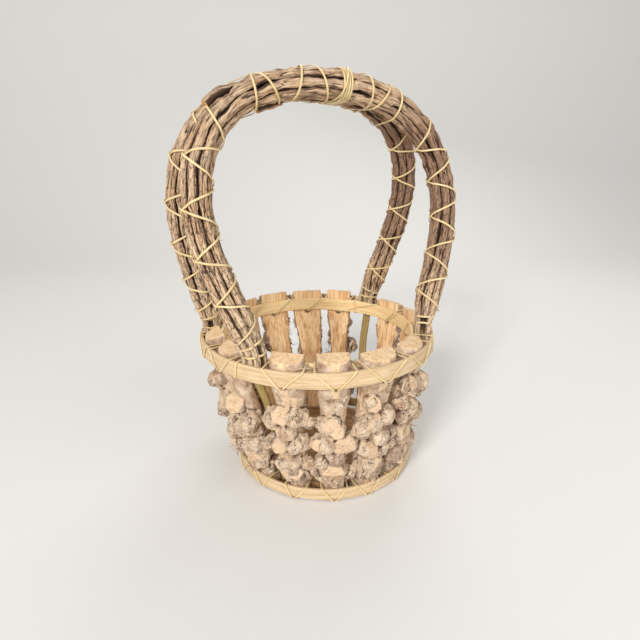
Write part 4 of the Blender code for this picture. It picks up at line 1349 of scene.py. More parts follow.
    def carve(self, skin: Skin, sawn: Array, nubs: Sequence[Nub]) -> None:
        """Carve lumps, layered folds, cracks and fibres into the skin, and keep the finished piece.

        Args:
            skin: The smooth skin.
            sawn: 1 where a point is on a sawn face.
            nubs: The swellings on it.
        """
        points, normals, wall = skin.points, skin.normals(), self.wall
        seed = self.number * 101
        height = points[:, 2]
        outward = points[:, :2] - np.stack([wall.middle(height), np.zeros(len(points))], axis=-1)
        depth = np.linalg.norm(outward, axis=-1)
        facing = np.sum(normals[:, :2] * outward, axis=-1) / depth
        proud = depth - wall.face(height)
        split = ramp(-facing, 0.45, 0.75) * (1 - ramp(proud, *self.split_depths))
        free = fade(height, wall.base.top, self.foot_zone)
        free = free * (1 - fade(height, wall.rim.bottom, self.free_zone))
        top = fade(height, wall.rim.top, self.top_zone)
        burl = ramp(proud, *self.burl_depths) * (1 - sawn)
        low = 1 - fade(height, wall.base.top, self.low_zone)

        # Folds run round the nearest nub like the layers of an onion
        near, tone = np.full(len(points), self.nub_reach), np.full(len(points), 0.5)
        for nub in nubs:
            apart = np.linalg.norm(points - nub.middle, axis=1) - nub.size
            tone = np.where(apart < near, nub.tone, tone)
            near = np.minimum(near, apart)
        layer = (near + 2.4 * MM * self.swirl.at(points, seed)) / (3.6 * MM)
        phase = layer % 1
        fold = np.where(phase < 0.78, phase / 0.78, (1 - phase) / 0.22)
        folded = ramp(self.folded_parts.at(points, seed), -0.25, 0.25)
        lumps = self.lumps.at(points, seed)
        crack = 1 - np.clip(abs(self.cracks.at(points, seed)) / 0.07, 0, 1)
        rootlets = self.root_ridges.at(points, seed) * low
        neck = self.neck_waves.at(points, seed)
        ragged = MM * (1.2 + self.tears.at(points, seed))
        edge = ramp(-facing, 0.05, 0.45) * (1 - split)

        shift = free * burl * (0.6 * lumps + 0.9 * MM * folded * (fold - 0.5) + rootlets - 0.9 * MM * crack)
        shift += free * (1 - burl) * (1 - split) * (1 - sawn) * (neck + edge * ragged)
        shift += (free + top * 0.6) * split * self.fibres.at(points, seed)
        shift += top * (1 - split) * (1 - sawn) * (1.3 * neck - 0.3 * MM)
        shift += top * sawn * MM * (self.top_wear.at(points, seed) - 0.4)
        skin.points = points + normals * shift[:, None]

        # Painted shade: the crevice mark darkens hollows and, in patches, the torn edges; painted highlight:
        # the ridge mark lightens raised parts
        deep, hollow, fine = skin.hollows(40), skin.hollows(10), skin.hollows(2)
        crevice = np.clip(deep / (2.6 * MM), 0, 1) * 0.9 + np.clip(hollow / (1.0 * MM), 0, 1) * 0.8
        crevice += np.clip(fine / (0.24 * MM), 0, 1) * 0.3
        crevice += 0.75 * edge * ramp(self.torn_shade.at(points, seed), 0.0, 0.5)
        ridge = np.clip(-hollow / (1.3 * MM), 0, 1) * 0.75 + np.clip(-fine / (0.20 * MM), 0, 1) * 0.4
        # The split face is darker along its sides, in patches
        margin = split * (1 - ramp(skin.smoothed(split, 14), 0.60, 0.97)) * (1 - top)
        margin = margin * ramp(self.bark_left.at(points, seed), -0.50, 0.00)
        split = np.maximum(split, 0.9 * top * sawn)
        sawn = sawn * (1 - 0.65 * top)
        marks = {Mark.CREVICE: np.clip(crevice * (1 - sawn * 0.8) * (1 - split * 0.9) + margin, 0, 1),
                 Mark.RIDGE: np.clip(ridge, 0, 1), Mark.SPLIT: split, Mark.SAWN: sawn,
                 Mark.TONE: mix(skin.smoothed(tone, 2), 0.38, top), Mark.LAYER: layer,
                 Mark.BURL: free * burl * (1 - split) * (1 - ramp(near, *self.layered_depths))}
        piece = make_piece(f"root_{self.node}", skin.points, skin.quads, marks)
        fit_piece(piece, ROOT, [self.node])
        self.fray(skin.points, normals, free * edge, free * burl * low)

    def fray(self, points: Array, normals: Array, edge: Array, burl: Array) -> None:
        """Let fibres stand off the split edges, and rootlets off the lowest burl.

        Args:
            points: Points of the finished skin.
            normals: Outward directions there.
            edge: Where it was torn.
            burl: Where its lowest burl is.
        """
        chance = np.random.default_rng(self.number * 29)
        for where, share in ((edge, 0.75), (burl, 0.25)):
            places = np.flatnonzero(where > 0.7)
            if len(places):
                for place in chance.choice(places, round(self.fringe_count * share)):
                    self.rootlets.grow(points[place], normals[place], chance)


@dataclass
class BaseBoard:
    """The round board inside the foot of the wall: the CAD node itself, with its edges eased."""

    node: str = "base_board"
    edge: float = 0.0006

    def build(self) -> None:
        """Dress the board."""
        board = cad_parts[self.node]
        board.data.materials.clear()
        board.data.materials.append(BOARD.material())
        eased = board.modifiers.new("eased_edges", "BEVEL")
        eased.width, eased.segments, eased.limit_method = self.edge, 2, "ANGLE"
        LOG.info("%s: dressed", self.node)


# The cane


@dataclass(frozen=True)
class Strand:
    """A flat split strand of cane."""

    width: float = 0.0022
    thickness: float = 0.0011
    sides: int = 10
    step: float = 0.0009
    taper_length: float = 0.008
    unevenness: Relief = Relief(0.10, 0.012, 0, 2)

    def lay(self, name: str, line: Array, out: Array, nodes: Sequence[str] = (), closed: bool = False,
            taper: bool = False) -> None:
        """Lay the strand along a line.

        Args:
            name: Name of the piece.
            line: Points of its middle.
            out: Rough directions away from what it lies on.
            nodes: CAD nodes that it replaces.
            closed: Whether it ends where it starts.
            taper: Whether its ends thin out.
        """
        side, out = frames_along(line, out, closed)
        wear = 1 + self.unevenness.at(line, 5)
        if taper:
            ends = np.minimum(np.arange(len(line)), np.arange(len(line))[::-1]) * self.step
            wear = wear * mix(0.35, 1, ease(ends / self.taper_length))
        section = oval(self.width, self.thickness, self.sides)[None] * wear[:, None, None]
        piece = Sweep(line, side, out, section, closed).build(name)
        fit_piece(piece, CANE, nodes)

    def round_corners(self, corners: Array, out: Array, radius: float,
                      closed: bool) -> tuple[Array, Array]:
        """Turn a route of straight runs into an even line with rounded corners.

        Args:
            corners: The route's corners.
            out: Directions away from what it lies on, one for each corner.
            radius: How far from a corner its rounding starts.
            closed: Whether the route ends where it starts.

        Returns:
            The line's points and its outward directions, a step apart.
        """
        points, outs = [], []
        count = len(corners)
        for index in range(count):
            here = corners[index]
            if not closed and index in (0, count - 1):
                points.append(here)
                outs.append(out[index])
                continue
            before, after = corners[index - 1], corners[(index + 1) % count]
            back = min(radius, np.linalg.norm(before - here) * 0.45)
            ahead = min(radius, np.linalg.norm(after - here) * 0.45)
            start = here + unit(before - here) * back
            end = here + unit(after - here) * ahead
            for share in (0, 0.25, 0.5, 0.75, 1):
                points.append(mix(mix(start, here, share), mix(here, end, share), share))
                outs.append(out[index])
        line, outs = np.array(points), np.array(outs)
        if closed:
            line, outs = np.vstack([line, line[:1]]), np.vstack([outs, outs[:1]])
        along = distances(line)
        wanted = np.linspace(0, along[-1], max(4, round(along[-1] / self.step)), endpoint=not closed)
        return read_rows(line, along, wanted), unit(read_rows(outs, along, wanted))


@dataclass
class Lashings:
    """The two strands that stitch the staves to their hoops, each unbroken all the way round."""

    wall: Wall
    strand: Strand = Strand()
    inset: float = 0.0016
    hug: float = 0.0009
    rounding: float = 0.0028
    slack: float = 0.022
    tie_leans: tuple[float, ...] = (0.012, -0.012, -0.008, 0.010)

    def half_widths(self, number: int, angle: float, at_rim: bool) -> tuple[float, float]:
        """How far a stave's solid reaches to both sides of its middle, inside its hoops.

        Args:
            number: The stave's number.
            angle: Angle of its middle in radians.
            at_rim: Whether at the rim hoops or at the base hoop.

        Returns:
            The reach to its right and to its left, looking outwards.
        """
        wall = self.wall
        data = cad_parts[f"stave_{number:02d}"].data
        points = np.array([vert.co for vert in data.vertices])
        height = points[:, 2]
        near = height > wall.rim.bottom - self.inset if at_rim else height < wall.base.top + self.inset
        sideward = np.array([-math.sin(angle), math.cos(angle)])
        middle = wall.rim.middle if at_rim else wall.base.middle
        sides = (points[near][:, :2] - [middle, 0]) @ sideward
        return -float(sides.min()), float(sides.max())

    def rim(self) -> None:
        """Lay the strand that goes through each stave's hole and over both rim hoops."""
        wall = self.wall
        outside, inside = wall.rim.radius + self.hug, wall.inner.radius - wall.hoop_thickness - self.hug
        low, high = wall.rim.bottom - self.inset, wall.rim.top + self.hug
        corners, outs = [], []
        chance = np.random.default_rng(3)

        def add(angle: float, radius: float, height: float, away: Array) -> None:
            """Add one corner of the route."""
            corners.append(wall.point(angle, radius, height))
            outs.append(away)

        for index, degrees in enumerate(wall.rim_angles):
            angle = math.radians(degrees)
            following = math.radians(wall.rim_angles[(index + 1) % len(wall.rim_angles)]) % math.tau
            left, right = self.half_widths(index + 1, angle, True)
            tip = self.inset / wall.ring_radius
            face = wall.inner.radius
            edge = angle + (right + self.inset) / face
            halfway = edge + ((following - tip - edge) % math.tau) / 2
            for way, half in ((Way.LEFT, left), (Way.RIGHT, right)):
                through = angle + way.value * tip
                over = angle + way.value * ((half + self.inset) / outside + chance.uniform(0, self.slack))
                outward = radial(through)
                add(through, inside, low, -outward - UP)
                add(through, outside, low, outward - UP)
                add(mix(through, over, chance.uniform(0.42, 0.58)), outside, (low + high) / 2, outward)
                add(over, outside, high, outward + UP)
                add(angle + way.value * (half + self.inset) / face, inside, high, UP - outward)
            add(halfway, inside, (low + high) / 2, -outward)
        line, out = self.strand.round_corners(np.array(corners), np.array(outs), self.rounding, True)
        self.strand.lay("rim_cane", line, out, ["rim_lashing"], closed=True)

    def foot_ties(self, angles: Mapping[str, float]) -> None:
        """Tie both rim hoops together close beside each foot of the handle.

        Args:
            angles: Angle of each tie in degrees, by the foot's name.
        """
        wall = self.wall
        outside, inside = wall.rim.radius + self.hug, wall.inner.radius - wall.hoop_thickness - self.hug
        low, high = wall.rim.bottom - self.hug, wall.rim.top + self.hug
        for foot, degrees in angles.items():
            angle = math.radians(degrees)
            outward = radial(angle)
            route = ((outside, high, outward + UP), (outside, low, outward - UP),
                     (inside, low, -outward - UP), (inside, high, UP - outward))
            corners = np.array([wall.point(angle + lean, radius, height)
                                for lean, (radius, height, _) in zip(self.tie_leans, route)])
            away = np.array([direction for *_, direction in route])
            line, out = self.strand.round_corners(corners, away, self.rounding, True)
            self.strand.lay(f"{foot}_tie", line, out, closed=True)

    def base(self) -> None:
        """Lay the strand that goes under each foot, up its notch and over the base hoop."""
        wall = self.wall
        outside, inside = wall.base.radius + self.hug, wall.board.radius - self.inset
        low, high = wall.base.bottom - self.inset, wall.base.top + self.hug
        board_top = wall.board.top + self.hug
        corners, outs = [], []
        for number, degrees in enumerate(wall.foot_angles, 1):
            angle = math.radians(degrees)
            tip = self.inset / wall.base.radius
            reach = self.half_widths(number, angle, False)
            for way, half in zip(Way, reach):
                through = angle + way.value * tip
                over = angle + way.value * (half + self.inset) / outside
                beside = angle + way.value * (half + self.inset) / wall.board.radius
                outward = radial(through)
                route = ((through, inside, board_top, UP), (through, inside, low, -UP - outward),
                         (through, outside, low, outward - UP),
                         (mix(through, over, 0.5), outside, (low + high) / 2, outward),
                         (over, outside, high, outward + UP), (beside, inside, high, UP))
                corners += [wall.point(*place[:3]) for place in route]
                outs += [place[3] for place in route]
        line, out = self.strand.round_corners(np.array(corners), np.array(outs), self.rounding, True)
        self.strand.lay("base_cane", line, out, ["base_lashing"], closed=True)


# The handle


@dataclass(frozen=True)
class Bundle:
    """One bundle of the handle: its name, the angles of its feet, and its side of the arch's plane."""

    name: str
    left_foot: str
    right_foot: str
    left_angle: float
    right_angle: float
    side: int


FRONT = Bundle("front", "left_front", "right_front", math.radians(240.5), math.radians(349), -1)
REAR = Bundle("rear", "left_rear", "right_rear", math.radians(185), math.radians(55.5), 1)

# Where the hoops are tied beside the feet, in degrees
FOOT_TIES = {"left_front": 234.3, "left_rear": 191.4, "right_front": 342.4, "right_rear": 61.8}


@dataclass(frozen=True)
class ArchSizes:
    """Driving sizes of both arches, as the solids have them."""

    yaw: float = math.radians(28)
    rise: float = 0.286
    belly_half_span: float = 0.1555
    belly_rise_share: float = 0.5524
    power: float = 2.3
    leg_ease: float = 1.25
    foot_depth: float = 0.015
    foot_hold: float = 0.004
    foot_length: float = 0.044
    twig_radius: float = 0.00475
    twig_foot_radius: float = 0.0038
    twig_gap: float = 0.0003
    twig_count: int = 7
    twist: float = math.radians(18)
    core_thickness: float = 0.0038
    core_width: float = 0.0113
    stations: int = 14

    @property
    def ring(self) -> float:
        """Radius of the circle that the twigs' middles stand on."""
        return (self.twig_radius + self.twig_gap / 2) / math.sin(math.pi / self.twig_count)

    @property
    def bundle_radius(self) -> float:
        """Radius of a whole bundle."""
        return self.ring + self.twig_radius


class Arch:
    """The smooth middle line of a bundle, with directions outward and sideward all along it."""

    samples = 240
    step = 0.0018

    def __init__(self, bundle: Bundle, sizes: ArchSizes, wall: Wall) -> None:
        """Work out the line and its directions.

        Args:
            bundle: Which bundle it is.
            sizes: Sizes of the arch.
            wall: The wall that it stands in.
        """
        self.bundle, self.sizes, self.wall = bundle, sizes, wall
        self.belly = wall.rim.top + sizes.rise * sizes.belly_rise_share
        self.top = wall.rim.top + sizes.rise
        rough = self._line()
        along = distances(rough)
        self.length = float(along[-1])
        self.at = np.linspace(0, self.length, round(self.length / self.step) + 1)
        self.points = read_rows(rough, along, self.at)
        tangents = unit(np.gradient(self.points, self.at, axis=0))
        hub = np.stack([np.full(len(self.at), wall.rim.middle), np.zeros(len(self.at)),
                        np.minimum(self.points[:, 2], self.belly)], axis=-1)
        away = self.points - hub
        self.outward = unit(away - tangents * np.sum(away * tangents, axis=-1, keepdims=True))
        self.sideward = np.cross(tangents, self.outward)

    def _line(self) -> Array:
        """Legs that stand straight between the hoops and ease out, closed by a superellipse."""
        sizes, ring = self.sizes, self.wall.ring_radius
        rise = self.wall.rim.top + sizes.foot_hold
        ends = {Way.LEFT: self.bundle.left_angle - sizes.yaw, Way.RIGHT: self.bundle.right_angle - sizes.yaw}
        legs = {}
        for way, angle in ends.items():
            foot = ring * math.cos(angle)
            share = np.arange(self.samples) / self.samples
            out = np.sin(math.pi / 2 * share ** sizes.leg_ease)
            span = np.append(foot, mix(foot, way.value * sizes.belly_half_span, out))
            height = np.append(self.wall.rim.top - sizes.foot_depth, mix(rise, self.belly, share))
            legs[way] = np.stack([span, height, np.full(len(span), ring * math.sin(angle))], axis=-1)
        turn = np.pi * (1 - np.arange(2 * self.samples + 1) / (2 * self.samples))
        span = sizes.belly_half_span * np.sign(np.cos(turn)) * abs(np.cos(turn)) ** (2 / sizes.power)
        height = mix(self.belly, self.top, abs(np.sin(turn)) ** (2 / sizes.power))
        across = np.where(np.cos(turn) < 0, legs[Way.LEFT][0, 2], legs[Way.RIGHT][0, 2])
        rows = np.vstack([legs[Way.LEFT], np.stack([span, height, across], axis=-1),
                          legs[Way.RIGHT][::-1]])
        share = np.maximum(0, (rows[:, 1] - rise) / (self.top - rise))
        offset = self.bundle.side * (sizes.bundle_radius + self.wall.clearance / 2)
        across = mix(rows[:, 2], offset, share)
        along_u = np.array([math.cos(sizes.yaw), math.sin(sizes.yaw), 0])
        along_n = np.array([-math.sin(sizes.yaw), math.cos(sizes.yaw), 0])
        points = rows[:, :1] * along_u + across[:, None] * along_n
        return points + np.stack([np.full(len(rows), self.wall.rim.middle), np.zeros(len(rows)),
                                  rows[:, 1]], axis=-1)

    def read(self, wanted: Any) -> tuple[Array, Array, Array]:
        """Points, outward and sideward directions at distances from the left foot."""
        point, outward, sideward = (read_rows(values, self.at, wanted)
                                    for values in (self.points, self.outward, self.sideward))
        return point, unit(outward), unit(sideward)

    def distance_at(self, height: float, way: Way) -> float:
        """Distance where the line passes a height on one of its legs."""
        peak = int(np.argmax(self.points[:, 2]))
        if way is Way.LEFT:
            return float(np.interp(height, self.points[:peak, 2], self.at[:peak]))
        return float(np.interp(-height, -self.points[peak:, 2], self.at[peak:]))

    def station(self, index: int) -> float:
        """Distance of one of the solids' stations, counted from the end of the left foot."""
        start = self.sizes.foot_depth + self.sizes.foot_hold + self.sizes.foot_length
        return mix(start, self.length - start, index / (self.sizes.stations - 1))


@dataclass
class Twig:
    """One barky twig of a bundle, thick and thin, cracked along its length and sawn at its ends."""

    arch: Arch
    index: int
    start: float
    end: float
    seed: int
    sides: int = 34
    step: float = 0.0014
    furrow_depth: float = 0.0011
    plate_length: float = 0.0085
    wander: float = 0.0006
    top_wander: float = 0.0024
    wander_cell: float = 0.026
    swell_cell: float = 0.022
    flake_height: float = 0.0003
    break_depth: float = 0.0008
    strips: Relief = Relief(1.0, (0.0056, 0.0056, 0.060), 0, 2)
    flakes: Relief = Relief(1.0, (0.0060, 0.0060, 0.011), 4)
    gnarls: Relief = Relief(0.0011, 0.011, 6)
    shove: Relief = Relief(1.6, (0.0042, 0.0042, 0.040), 8)
    breaks: Relief = Relief(1.0, 0.011, 9)
    lifted_start: float = 0.0
    lifted_zone: tuple[float, float] = (0.004, 0.044)
    pale_reach: float = 0.055
    lift: float = 0.0
    thinness: float = 1.0
    tucked: float = 0.0092
    inner_side_shade: float = 0.85
    places: tuple[tuple[int, int] | None, ...] = ((0, 1), (-1, 1), (-1, -1), (0, -1), (1, -1), None, (1, 1))
    knot_spacing: float = 0.062
    knot_height: float = 0.0009
    knot_reach: float = 0.004
    knot_spread: float = 0.06
    cap_shares: tuple[float, ...] = (0.93, 0.6, 0.2)
    cap_bulge: float = 0.0009

    def offsets(self, at: Array) -> tuple[Array, Array, Array]:
        """Where the twig lies in its bundle.

        Args:
            at: Distances along the arch.

        Returns:
            Its sideward and outward offsets, and 0 where it is squeezed in a foot to 1 where it is free.
        """
        sizes = self.arch.sizes
        turn = math.tau * self.index / sizes.twig_count
        turn = turn + sizes.twist * np.sin(math.pi * at / self.arch.length) ** 2
        side, out = -np.sin(turn) * sizes.ring, np.cos(turn) * sizes.ring
        end = np.minimum(at, self.arch.length - at)
        free = ease((end - sizes.foot_depth - sizes.foot_hold) / sizes.foot_length)
        place = self.places[self.index]
        if place is not None:
            gap = self.arch.wall.clearance
            side = mix(place[0] * (2 * sizes.twig_foot_radius + gap), side, free)
            out = mix(place[1] * (sizes.core_thickness / 2 + gap + sizes.twig_foot_radius), out, free)
        else:
            side, out = mix(self.tucked, side, free), out * free
        return side, out, free

    def bark(self, skin: Array, at: Array) -> tuple[dict[Mark, Array], Array]:
        """Long rounded ridges that wander like strands, broken across into plates.

        Args:
            skin: Places on the unrolled bark.
            at: Distances along the arch.

        Returns:
            The marks for the material, and how far the bark stands out.
        """
        strips = self.strips.at(skin, self.seed)
        swell = ease(abs(strips) / 0.28)
        furrow_shade = 1 - ease(abs(strips) / 0.10)
        rows = skin[..., 2] / self.plate_length + self.shove.at(skin, self.seed)
        across = 1 - ease(abs(np.sin(math.pi * rows)) / 0.30)
        leg = 1 - np.sin(math.pi * at / self.arch.length)[:, None] ** 2
        across = across * ramp(self.breaks.at(skin, self.seed), -0.5, -0.05) * mix(0.35, 1, ease(leg * 1.6))
        flakes = self.flakes.at(skin, self.seed)
        height = self.furrow_depth * (swell - 0.8) + self.flake_height * flakes - self.break_depth * across
        height = height + self.gnarls.at(skin, self.seed) * (1 - leg)
        pale = np.exp(-np.minimum(at, self.arch.length - at)[:, None] / self.pale_reach)
        # Painted shade on the upper right leg
        right_leg_shade = ramp(at[:, None] / self.arch.length, 0.56, 0.70)
        # Painted shade in the furrows and breaks; painted highlight on swells and flakes
        marks = {Mark.CREVICE: np.clip(furrow_shade * 0.9 + across * 0.95, 0, 1),
                 Mark.RIDGE: np.clip(swell * 0.45 + flakes * 0.7, 0, 1),
                 Mark.TONE: (pale - 0.5 * right_leg_shade * (1 - pale)) * np.ones_like(swell),
                 Mark.PLATED: ease(leg * 1.5) * np.ones_like(swell)}
        return marks, height

    def build(self, name: str, *nodes: str) -> None:
        """Make the twig.

        Args:
            name: Name of the piece.
            nodes: The CAD node that it replaces, if there is one.
        """
        sizes = self.arch.sizes
        step = self.step * 1
        at = np.linspace(self.start, self.end, max(8, round((self.end - self.start) / step)))
        side, out, free = self.offsets(at)
        own = np.stack([at, np.full(len(at), self.seed * 0.37), np.zeros(len(at))], axis=-1)
        high = np.sin(math.pi * at / self.arch.length) ** 2
        wander = mix(self.wander, self.top_wander, high) * free
        spoke = unit(np.stack([side, out], axis=-1))
        along = wander * noise(own, self.wander_cell, self.seed, 2)
        inward = 0.8 * wander * abs(noise(own, self.wander_cell, self.seed + 1, 2))
        side = side - spoke[:, 1] * along - spoke[:, 0] * inward
        out = out + spoke[:, 0] * along - spoke[:, 1] * inward + self.lift
        out = out + self.lifted_start * (1 - ramp(at - self.start, *self.lifted_zone))
        point, outward, sideward = self.arch.read(at)
        line = point + outward * out[:, None] + sideward * side[:, None]
        radius = mix(sizes.twig_foot_radius, sizes.twig_radius, free) * self.thinness
        radius = radius * (1 + mix(0.07, 0.15, high) * noise(own, self.swell_cell, self.seed + 2, 2))
        chance = np.random.default_rng(self.seed)
        for knot in np.arange(self.start, self.end, self.knot_spacing) + chance.uniform(0, self.knot_spread):
            radius = radius + self.knot_height * np.exp(-((at - knot) / self.knot_reach) ** 2) * free
        turn = np.arange(self.sides) * math.tau / self.sides
        ring = np.stack([np.cos(turn), np.sin(turn)], axis=-1)
        skin = np.concatenate([np.broadcast_to(ring[None] * sizes.twig_radius, (len(at), self.sides, 2)),
                               np.broadcast_to(at[:, None, None], (len(at), self.sides, 1))], axis=-1)
        marks, height = self.bark(skin + self.seed * 0.11, at)
        # Painted shade on the side of each twig that faces into the bundle; the crown facing out is lighter,
        # partly wear and partly painted highlight
        crown = np.sum(ring[None] * spoke[:, None], axis=-1)
        marks[Mark.CREVICE] = np.clip(marks[Mark.CREVICE] + self.inner_side_shade * (1 - ramp(crown, -0.10, 0.45)), 0, 1)
        marks[Mark.RIDGE] = np.clip(marks[Mark.RIDGE] + 0.35 * ramp(crown, 0.5, 1.0), 0, 1)
        reach = radius[:, None] + height * mix(0.45, 1, free)[:, None]
        section = ring[None] * reach[..., None]
        order = np.pad(np.arange(len(at)), len(self.cap_shares), mode="edge")
        shrink = np.array([*self.cap_shares[::-1], *np.ones(len(at)), *self.cap_shares])
        sawn = np.zeros((len(order), self.sides))
        sawn[:len(self.cap_shares)] = sawn[-len(self.cap_shares):] = 1
        marks = {mark: values[order] for mark, values in marks.items()}
        marks[Mark.SAWN] = sawn
        marks[Mark.CREVICE] = marks[Mark.CREVICE] * (1 - sawn)
        across, away = frames_along(line, outward)
        bulge = self.cap_bulge * (1 - np.array(self.cap_shares))
        dome = np.concatenate([-bulge[::-1], np.zeros(len(at)), bulge])
        line = line[order] + unit(np.gradient(point, axis=0))[order] * dome[:, None]
        sweep = Sweep(line, across[order], away[order], section[order] * shrink[:, None, None], marks=marks)
        fit_piece(sweep.build(name), BARK, nodes)


@dataclass
class Core:
    """The flat split core of a bundle: up the wall, over the arch inside the twigs and down again."""

    arch: Arch
    sides: int = 16
    step: float = 0.004
    foot_lift: float = 0.003
    bend_share: float = 0.72
    hidden_zone: tuple[float, float] = (0.0, 0.006)
    unevenness: Relief = Relief(0.05, 0.015, 0, 2)

    def wall_run(self, angle: float) -> tuple[Array, Array]:
        """The core's run up the wall at one foot.

        Args:
            angle: The foot's angle in radians.

        Returns:
            Its points from the bottom up, and its sideward directions.
        """
        wall, sizes = self.arch.wall, self.arch.sizes
        half = sizes.core_thickness / 2
        bend = mix(wall.base.top, wall.rim.bottom, self.bend_share)
        route = ((self.foot_lift, wall.board.radius + wall.clearance + half),
                 (wall.base.top, wall.board.radius + wall.clearance + half),
                 (bend, wall.face(bend) + half), (wall.rim.bottom, wall.ring_radius))
        height = np.arange(self.foot_lift, wall.rim.bottom, self.step)
        radius = np.interp(height, *zip(*route))
        kernel = np.hanning(9)
        radius[4:-4] = np.convolve(radius, kernel / kernel.sum(), mode="valid")[:len(radius) - 8]
        side = np.tile([math.sin(angle), -math.cos(angle), 0], (len(height), 1))
        return wall.point(np.full(len(height), angle), radius, height), side

    def build(self) -> None:
        """Make the core and let it replace its node."""
        arch, sizes = self.arch, self.arch.sizes
        left, left_side = self.wall_run(arch.bundle.left_angle)
        right, right_side = self.wall_run(arch.bundle.right_angle)
        at = np.arange(0, arch.length, self.step)
        point, _, sideward = arch.read(at)
        left_side = left_side * np.sign(np.dot(sideward[0], left_side[-1]))
        right_side = right_side * np.sign(np.dot(sideward[-1], right_side[-1]))
        line = np.vstack([left, point, right[::-1]])
        side = np.vstack([left_side, sideward, right_side[::-1]])
        for _ in range(4):
            side[1:-1] = unit(side[:-2] + side[1:-1] * 2 + side[2:])
        tangent = unit(np.gradient(line, axis=0))
        side = unit(side - tangent * np.sum(side * tangent, axis=-1, keepdims=True))
        out = np.cross(tangent, side)
        section = oval(sizes.core_width, sizes.core_thickness, self.sides, 4.5)
        wave = 1 + self.unevenness.at(line, 9)
        section = section[None] * np.stack([wave, np.ones_like(wave)], axis=-1)[:, None]
        # Painted shade: darker above the rim, where the core goes in between the twigs
        shade_between_twigs = np.tile(fade(line[:, 2], arch.wall.rim.top, self.hidden_zone)[:, None], (1, self.sides))
        sweep = Sweep(line, side, out, section, marks={Mark.CREVICE: shade_between_twigs * 0.9})
        piece = sweep.build(f"{arch.bundle.name}_split_core")
        fit_piece(piece, CORE, [f"{arch.bundle.name}_core"])


